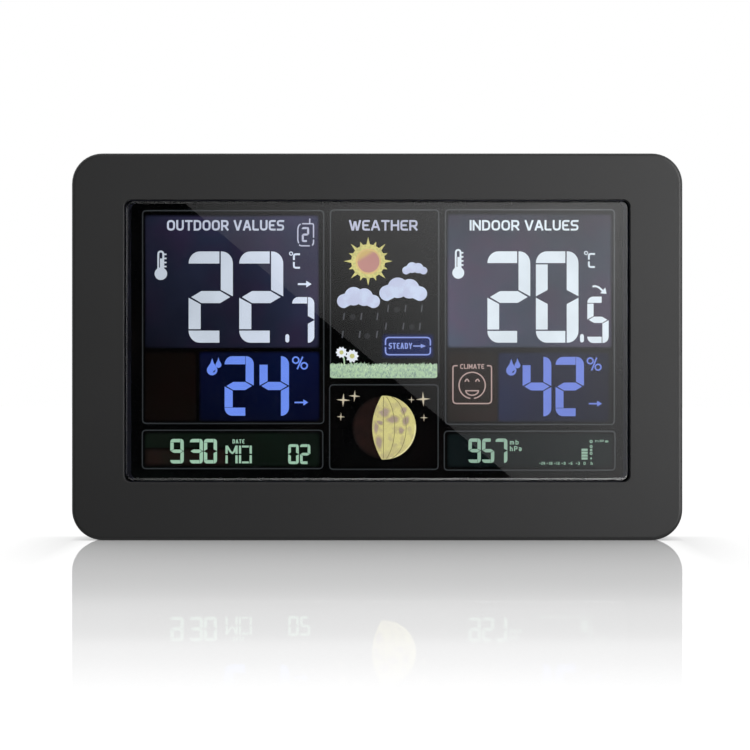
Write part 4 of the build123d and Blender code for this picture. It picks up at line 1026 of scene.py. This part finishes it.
def draw_moon():
    x, z, radius = 2.4, 36.95, 10.45
    veil = [(x + 0.1, z, 2.03 * radius, 2.0 * radius)]
    soft_patches(
        "moon_shadow", veil, rim=(0.0004, 0.0003, 0.0003), core=(0.0098, 0.0034, 0.0024), layer=1,
        slot="lcd_glow", spread=(0.0, 0.9), uneven=0.35)

    def meridian(pole_x, middle_x, power, reach=0.97, steps=26):
        """A curve from the lower pole to the upper one; power 0.5 makes it round, 1 pointed."""
        shares = [-reach + 2 * reach * i / steps for i in range(steps + 1)]
        return [(pole_x + (middle_x - pole_x) * (1 - t * t) ** power, z + radius * t) for t in shares]

    lit_part = Ink()
    lit_part.polygon(arc(x, z, radius, -94, 94, 48) + meridian(1.6, -1.5, 1.0)[::-1])
    lit_part.build(
        "moon_face", lit("moon_yellow", (0.63, 0.58, 0.235), fleck=(0.5, 0.44, 0.22), fleck_size=420.0),
        "lcd_yellow")
    seas = [
        (2.5, 41.9, 4.6, 3.6), (5.3, 39.6, 4.4, 3.4), (8.8, 42.6, 2.4, 2.9), (9.5, 39.2, 2.9, 3.4),
        (8.0, 36.0, 2.6, 2.3), (0.8, 38.6, 3.2, 1.9), (-0.2, 36.9, 1.9, 4.3), (0.7, 32.2, 2.9, 4.6)]
    soft_patches(
        "moon_seas", seas, rim=(0.62, 0.56, 0.22), core=(0.4, 0.31, 0.25), layer=3, slot="lcd_rose",
        spread=(0.3, 0.5), uneven=0.1)
    rim = Ink(layer=3)
    rim.stroke(arc(x, z, radius - 0.25, -80, 5, 30), 0.4)
    rim.build("moon_rim", lit("moon_pale", (0.75, 0.7, 0.36)), "lcd_yellow")
    lines = Ink(layer=4)
    for pole_x, middle_x, power in ((2.2, 2.15, 0.5), (2.7, 5.85, 0.72), (3.5, 9.6, 0.55)):
        lines.stroke(meridian(pole_x, middle_x, power), 0.2)
    lines.build("moon_lines", lit("moon_olive", (0.2, 0.18, 0.07)), "lcd_line")

    stars = Ink()
    for sx, sz, reach, turn in (
            (-11.0, 46.0, 2.25, 3), (-7.3, 47.3, 1.9, 4), (-11.8, 40.5, 1.4, 3), (11.35, 46.1, 1.15, 2),
            (15.2, 46.3, 2.4, -3), (15.45, 40.2, 1.3, 0)):
        points = []
        for i in range(8):
            angle = math.radians(90 + 45 * i - turn)
            length = reach if i % 2 == 0 else reach * 0.2
            points.append((sx + length * math.cos(angle), sz + length * math.sin(angle)))
        stars.polygon(points)
    stars.build("night_stars", lit("star_cream", (0.56, 0.49, 0.36)), "lcd_yellow")


def draw_clock():
    ink = Ink()
    for character, left, right in (("9", -67.7, -63.3), ("3", -61.3, -57.0), ("0", -56.7, -52.4)):
        digit(ink, character, left, right, 25.2, 33.25, 1.1, gap=0.08)
    for character, left, right in (("0", -29.05, -25.6), ("2", -25.2, -21.8)):
        digit(ink, character, left, right, 25.0, 31.5, 0.88, gap=0.08)
    low, high, middle, line = 25.25, 31.05, 28.15, 0.72
    for x in (-49.25, -46.0):
        ink.stroke([(x, low), (x, middle - 0.3)], line)
        ink.stroke([(x, high), (x, middle + 0.2)], line)
    ink.stroke([(-49.1, 30.9), (-47.95, 29.0), (-47.35, 28.6), (-46.85, 29.0), (-46.1, 30.9)], 0.6)
    for x in (-44.85, -41.35):
        ink.stroke([(x, low), (x, middle - 0.25)], line)
        ink.stroke([(x, high), (x, middle + 0.25)], line)
    for z in (low + 0.3, high - 0.3):
        ink.stroke([(-44.2, z), (-42.0, z)], 0.62)
    text(ink, "DATE", -47.3, -43.4, 31.75, 33.1, weight=0.2, spacing=0.16)
    ink.build("clock_readings", lit("clock_green", (0.33, 0.53, 0.39)), "lcd_green")


def draw_pressure():
    ink = Ink()
    for character, left, right in (("9", 30.05, 34.1), ("5", 34.5, 38.5), ("7", 38.9, 42.8)):
        digit(ink, character, left, right, 25.4, 33.4, 1.1, gap=0.08)
    text(ink, "mb", 43.6, 46.5, 31.4, 32.95, weight=0.2, spacing=0.3)
    text(ink, "hPa", 43.6, 47.5, 29.25, 30.9, weight=0.2, spacing=0.25)
    scale = (("-24", 54.2), ("-18", 56.6), ("-12", 59.0), ("-9", 61.2), ("-6", 63.5), ("-3", 65.9))
    for label, middle in scale:
        half = 0.95 if len(label) == 3 else 0.65
        text(ink, label, middle - half, middle + half, 24.75, 25.75, weight=0.2, spacing=0.2)
    text(ink, "0", 67.75, 68.45, 24.75, 25.75, weight=0.2)
    text(ink, "h", 70.1, 70.75, 24.75, 25.8, weight=0.22)
    for i in range(4):
        ink.box(67.1, 69.1, 26.45 + i * 0.95, 27.2 + i * 0.95)
    for z, size in ((32.4, 0.55), (30.75, 0.5), (29.6, 0.4), (28.5, 0.5), (26.85, 0.25)):
        ink.ring(70.25, z, size * 0.7, 0.3, 10)
    text(ink, "hPa", 71.6, 75.9, 32.1, 32.95, weight=0.22, spacing=0.5)
    ink.build("pressure_readings", lit("pressure_green", (0.275, 0.43, 0.33)), "lcd_green")


def draw_glow():
    """
    Faint light that leaks through unlit areas: soft-edged fields.

    Each is left, right, bottom, top, tint, edge width, level, and how the level grows across, upward and,
    past the falling diagonal, towards the upper right corner.
    """
    fields = [
        (-76.3, -18.8, 62.9, 106.8, (0.0138, 0.0140, 0.0320), 0.9, 1.05, 0.95, 0.6, 1.0),
        (-76.3, -58.9, 38.9, 61.9, (0.0032, 0.0016, 0.0010), 0.9, 1.0, 0.0, 0.0, 0.0),
        (-58.4, -18.6, 38.9, 62.0, (0.0012, 0.0028, 0.0185), 0.9, 1.0, 0.4, 0.7, 0.0),
        (-76.3, -18.6, 24.0, 35.5, (0.0030, 0.0066, 0.0038), 0.9, 1.0, 0.0, 0.0, 0.0),
        (-76.3, -48.0, 24.2, 30.4, (0.0092, 0.0066, 0.0048), 1.4, 1.0, 0.0, 0.0, 0.0),
        (22.9, 77.2, 62.9, 107.2, (0.0285, 0.0285, 0.0480), 0.9, 1.42, -0.75, -1.35, 0.5),
        (22.9, 40.0, 38.7, 62.1, (0.0110, 0.0058, 0.0036), 0.9, 1.0, 0.0, 0.0, 0.0),
        (39.5, 76.4, 38.6, 61.8, (0.0050, 0.0080, 0.0330), 0.9, 1.0, -0.9, 0.2, 0.0),
        (22.9, 77.3, 23.8, 35.2, (0.0026, 0.0060, 0.0060), 0.9, 1.0, 0.0, 0.0, 0.0),
        (1.5, 18.9, 59.5, 67.9, (0.0010, 0.0085, 0.0820), 1.1, 1.0, 0.0, 0.0, 0.0),
    ]
    fades = Fades()
    for i, (left, right, bottom, top, tint, edge, level, across, upward, corner) in enumerate(fields):
        near = DISPLAY_Y - LAYER_STEP * 0.2 * (1 + i % 3)
        rings = []
        for depth, inset, share in ((near + SHEET_THICKNESS * 0.1, 0.0, 0.0), (near, edge, 1.0)):
            points = frame_path(left + inset, right - inset, bottom + inset, top - inset, 1.2)
            tints = []
            for x, z in points:
                u = (x - left) / (right - left)
                v = (z - bottom) / (top - bottom)
                slope = across * (u - 0.5) + upward * (v - 0.5) + corner * max(u + v - 1, 0.0)
                tints.append(shade(tint, share * (level + slope)))
            rings.append(fades.ring(points, depth, tints))
        outer, inner = rings
        fades.bridge(outer, inner)
        # The outline starts at the lower left, so these are the middles of two opposite corners.
        lower_right, upper_left = len(inner) * 3 // 8, len(inner) * 7 // 8
        fades.faces.append(tuple(inner[lower_right:upper_left + 1]))
        fades.faces.append(tuple(inner[upper_left:]) + tuple(inner[:lower_right + 1]))
    n = Nodes("leak_glow")
    warm = n.rise(n.noise(75.0, detail=2.0), 0.4, 0.66)
    hue = n.mix(warm, (0.86, 1.06, 1.0), (1.2, 0.94, 1.0))
    power = n.span(n.noise(28.0, detail=3.0), 0.7, 1.35, 0.3, 0.7)
    surface = dict(Base_Color=(0.001, 0.001, 0.0015, 1.0), Roughness=0.35, Specular_IOR_Level=0.02)
    fades.build("display_glow", n, power, surface, "lcd_glow", hue)


draw_glow()
draw_frames()
draw_outdoor()
draw_indoor()
draw_humidity()
draw_comfort()
draw_trend()
draw_weather()
draw_meadow()
draw_moon()
draw_clock()
draw_pressure()

# ---- studio -------------------------------------------------------------------------------------

SOFT_BOX_WIDTH = 0.25
SOFT_BOX_HEIGHT = 0.35
SOFT_BOX_SPREAD = math.radians(80)
SOFT_BOX_WATTS = 1.0
SOFT_BOX_PLACE = Vector((0.38, FRONT_Y - 0.42, 0.1))
SOFT_BOX_AIM = Vector((0.06, FRONT_Y, 0.045))
LIGHT_FROM_BEHIND = 1.5
LIGHT_FROM_FRONT = 0.45
TABLE_IN_MIRRORS_FRONT = 0.9
TABLE_IN_MIRRORS_BEHIND = 0.15


def staged(name, mesh, material):
    thing = bpy.data.objects.new(name, mesh)
    mesh.materials.append(material)
    bpy.context.scene.collection.objects.link(thing)
    return thing


def build_world():
    """Even white studio: bright for lighting and mirrors, plain white behind the object."""
    n = Nodes("studio", bpy.data.worlds, "ShaderNodeOutputWorld")
    bpy.context.scene.world = n.owner
    background = n.fill(n.add("ShaderNodeBackground"), Color=(1.0, 1.0, 1.0, 1.0))
    direction = n.add("ShaderNodeTexCoord").outputs["Generated"]
    axes = n.fill(n.add("ShaderNodeSeparateXYZ"), Vector=direction).outputs

    def choose(factor, first, second):
        node = n.add("ShaderNodeMix")
        n.feed((node.inputs[0], *node.inputs[2:4]), (factor, first, second))
        return node.outputs[0]

    room = n.span(axes["Y"], LIGHT_FROM_FRONT, LIGHT_FROM_BEHIND, -0.8, 0.2, smooth=True)
    table = n.span(
        axes["Y"], TABLE_IN_MIRRORS_FRONT, TABLE_IN_MIRRORS_BEHIND, -0.2, 0.4, smooth=True)
    seen = choose(n.span(axes["Z"], 0.0, 1.0, -0.06, 0.0, smooth=True), table, room)
    path = n.add("ShaderNodeLightPath")
    n.fill(background, Strength=choose(path.outputs["Is Camera Ray"], seen, 1.0))
    n.link(background.outputs[0], n.output.inputs["Surface"])


# How much of the mirror image the table shows, by distance from the case's foot in metres.
MIRROR_FADE = [
    (0.0, 0.82), (0.07, 0.755), (0.15, 0.695), (0.2, 0.66), (0.235, 0.61), (0.29, 0.485), (0.355, 0.42),
    (0.39, 0.3), (0.42, 0.25), (0.45, 0.17), (0.49, 0.08), (0.6, 0.0), (1.0, 0.0)]
PAPER_SHARE = 0.5
MIRROR_SHARE = 0.68


def mirror_fade(n, middle, half):
    """The mirror image's strength, from the distance to the case's footprint."""
    squares = []
    for axis, centre, reach in (("X", middle.x, half), ("Y", 0.0065, 0.013)):
        off = n.math("ABSOLUTE", n.minus(n.axis(axis), centre))
        past = n.math("MAXIMUM", n.minus(off, reach), 0.0)
        squares.append(n.times(past, past))
    fade = n.fill(n.add("ShaderNodeFloatCurve"), Value=n.math("SQRT", n.plus(*squares)))
    curve = fade.mapping.curves[0]
    curve.points[0].location = MIRROR_FADE[0]
    curve.points[1].location = MIRROR_FADE[-1]
    for point in MIRROR_FADE[1:-1]:
        curve.points.new(*point)
    for point in curve.points:
        point.handle_type = "AUTO_CLAMPED"
    fade.mapping.update()
    return fade.outputs[0]


def contact_shadow(n, middle, half):
    """A painted contact shadow: 1 on the open table, less beside the case's foot and 0 in the slit under
    it.
    """
    sideways = n.math("ABSOLUTE", n.minus(n.axis("X"), middle.x))
    along = n.axis("Y")
    beside = n.times(
        n.rise(sideways, half - 0.006, half), n.span(sideways, 0.12, 0.0, half, half + 0.017))
    around = n.times(n.rise(along, -0.17, FRONT_Y), n.fall(along, 0.014, 0.022))
    depth = n.times(n.rise(along, FRONT_Y - 0.001, FRONT_Y + 0.001), n.fall(along, 0.018, 0.026))
    under = n.times(n.span(sideways, 0.35, 0.0, half - 0.006, half + 0.001), depth)
    return n.minus(1.0, n.plus(n.times(beside, around), under))


def build_floor():
    """A white glossy table: it mirrors the object near its foot and fades to plain white."""
    n = Nodes("floor_white")
    middle = (CASE_LOW + CASE_HIGH) / 2
    half = (CASE_HIGH.x - CASE_LOW.x) / 2
    fresnel = n.fill(n.add("ShaderNodeFresnel"), IOR=1.45)
    grain = n.noise(700.0, detail=3.0)
    # Painted contact shadow: the paper's colour, its glow and the mirror's colour are darkened beside and
    # under the case's foot.
    painted_shadow_factor = contact_shadow(n, middle, half)
    black = (0.0, 0.0, 0.0)
    tone = n.mix(n.rise(grain, 0.3, 0.7), (PAPER_SHARE,) * 3, (0.48, 0.48, 0.482))
    paper = n.fill(n.add("ShaderNodeBsdfDiffuse"), Color=n.mix(painted_shadow_factor, black, tone))
    glow = n.fill(
        n.add("ShaderNodeEmission"), Color=(1.0, 1.0, 1.0, 1.0), Strength=n.times(painted_shadow_factor, PAPER_SHARE))
    base = n.add("ShaderNodeAddShader")
    n.feed(base.inputs, (paper.outputs[0], glow.outputs[0]))
    gloss = n.fill(
        n.add("ShaderNodeBsdfGlossy"), Color=n.mix(painted_shadow_factor, black, (MIRROR_SHARE,) * 3),
        Roughness=n.span(grain, 0.0, 0.02, 0.3, 0.7))
    blend = n.add("ShaderNodeMixShader")
    share = n.times(fresnel.outputs[0], mirror_fade(n, middle, half))
    n.feed(blend.inputs, (share, base.outputs[0], gloss.outputs[0]))
    n.link(blend.outputs[0], n.output.inputs["Surface"])
    mesh = bpy.data.meshes.new("floor")
    bm = bmesh.new()
    bmesh.ops.create_grid(bm, x_segments=12, y_segments=12, size=4.0)
    bm.to_mesh(mesh)
    bm.free()
    floor = staged("floor", mesh, n.owner)
    floor.visible_glossy = False
    floor.visible_transmission = False


def emitter(name, strength, corners, shading=None, receivers=None):
    """A glowing card seen only in mirrors."""
    n = Nodes(name)
    glow = n.fill(n.add("ShaderNodeEmission"), Strength=shading(n) if shading else strength)
    n.link(glow.outputs[0], n.output.inputs["Surface"])
    mesh = bpy.data.meshes.new(name)
    mesh.from_pydata(corners, [], [tuple(range(len(corners)))])
    card = staged(name, mesh, n.owner)
    card.visible_camera = False
    card.visible_diffuse = False
    card.visible_shadow = False
    if receivers:
        card.light_linking.receiver_collection = only(name + "_receivers", receivers)


def only(name, nodes):
    """A collection that names what a light may reach."""
    collection = bpy.data.collections.new(name)
    for node in nodes:
        collection.objects.link(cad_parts[node])
    return collection


def seen_in_window(x, z, share):
    """The card's point that the window mirrors at x, z; share is its distance over the camera's."""
    return (
        (x + (x - VIEW_X) * share) * MM, FRONT_Y - CAMERA_DISTANCE * share,
        (z + (z - VIEW_Z) * share) * MM)


def build_cards():
    """What the window mirrors: a dark flag, a lit wall whose straight edge crosses it, a lit table."""
    flag_share = 1.3
    flag = [seen_in_window(x, z, flag_share) for x, z in ((-700, -40), (150, -40), (150, 600), (-700, 600))]
    emitter("dark_flag", 0.006, flag)

    wall_share = 0.8
    edge_high = (-87.6, 131.1)
    edge_low = (62.0, 5.4)
    outline = [edge_high, edge_low, (700.0, 5.4), (700.0, 600.0), (-60.0, 600.0)]

    def shading(n):
        """Brighter to the upper right, in steps per 100 mm on the window, with a lift near the table."""
        near = seen_in_window(0, 0, wall_share)
        far = seen_in_window(100, 100, wall_share)
        across = n.span(n.axis("X"), 0.0, 0.714, near[0], far[0], clamp=False)
        upward = n.span(n.axis("Z"), -0.255, 0.68, near[2], far[2], clamp=False)
        across = n.math("MINIMUM", across, 1.5)
        upward = n.math("MINIMUM", upward, 1.3)
        low, high = (seen_in_window(0, z, wall_share)[2] for z in (20, 45))
        lift = n.span(n.axis("Z"), 0.12, 0.0, low, high)
        slope = n.plus(n.plus(across, upward), lift)
        soft = n.span(n.noise(14.0, detail=2.0), 0.94, 1.06, 0.3, 0.7)
        return n.times(n.math("MAXIMUM", slope, 0.15), soft)

    emitter("lit_wall", 1.0, [seen_in_window(x, z, wall_share) for x, z in outline], shading)

    def table_shading(n):
        return n.span(n.axis("X"), 1.6, 5.0, -0.07, 0.07, clamp=False)

    left, right, far, near, below = -0.2, 0.2, FRONT_Y - 0.2, FRONT_Y - 0.012, -0.012
    table = [(left, far, below), (right, far, below), (right, near, below), (left, near, below)]
    emitter("lit_table", 1.0, table, table_shading, receivers=["display_window"])


def build_key():
    """A soft box on the right that lights the object, apart from its window."""
    data = bpy.data.lights.new("soft_box", "AREA")
    data.shape = "RECTANGLE"
    data.size = SOFT_BOX_WIDTH
    data.size_y = SOFT_BOX_HEIGHT
    data.spread = SOFT_BOX_SPREAD
    data.energy = SOFT_BOX_WATTS
    key = bpy.data.objects.new("soft_box", data)
    key.location = SOFT_BOX_PLACE
    key.rotation_euler = (SOFT_BOX_AIM - SOFT_BOX_PLACE).to_track_quat("-Z", "Y").to_euler()
    bpy.context.scene.collection.objects.link(key)
    key.visible_camera = False
    key.light_linking.receiver_collection = only(
        "soft_box_receivers", [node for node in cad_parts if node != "display_window"])


build_world()
build_floor()
build_cards()
build_key()
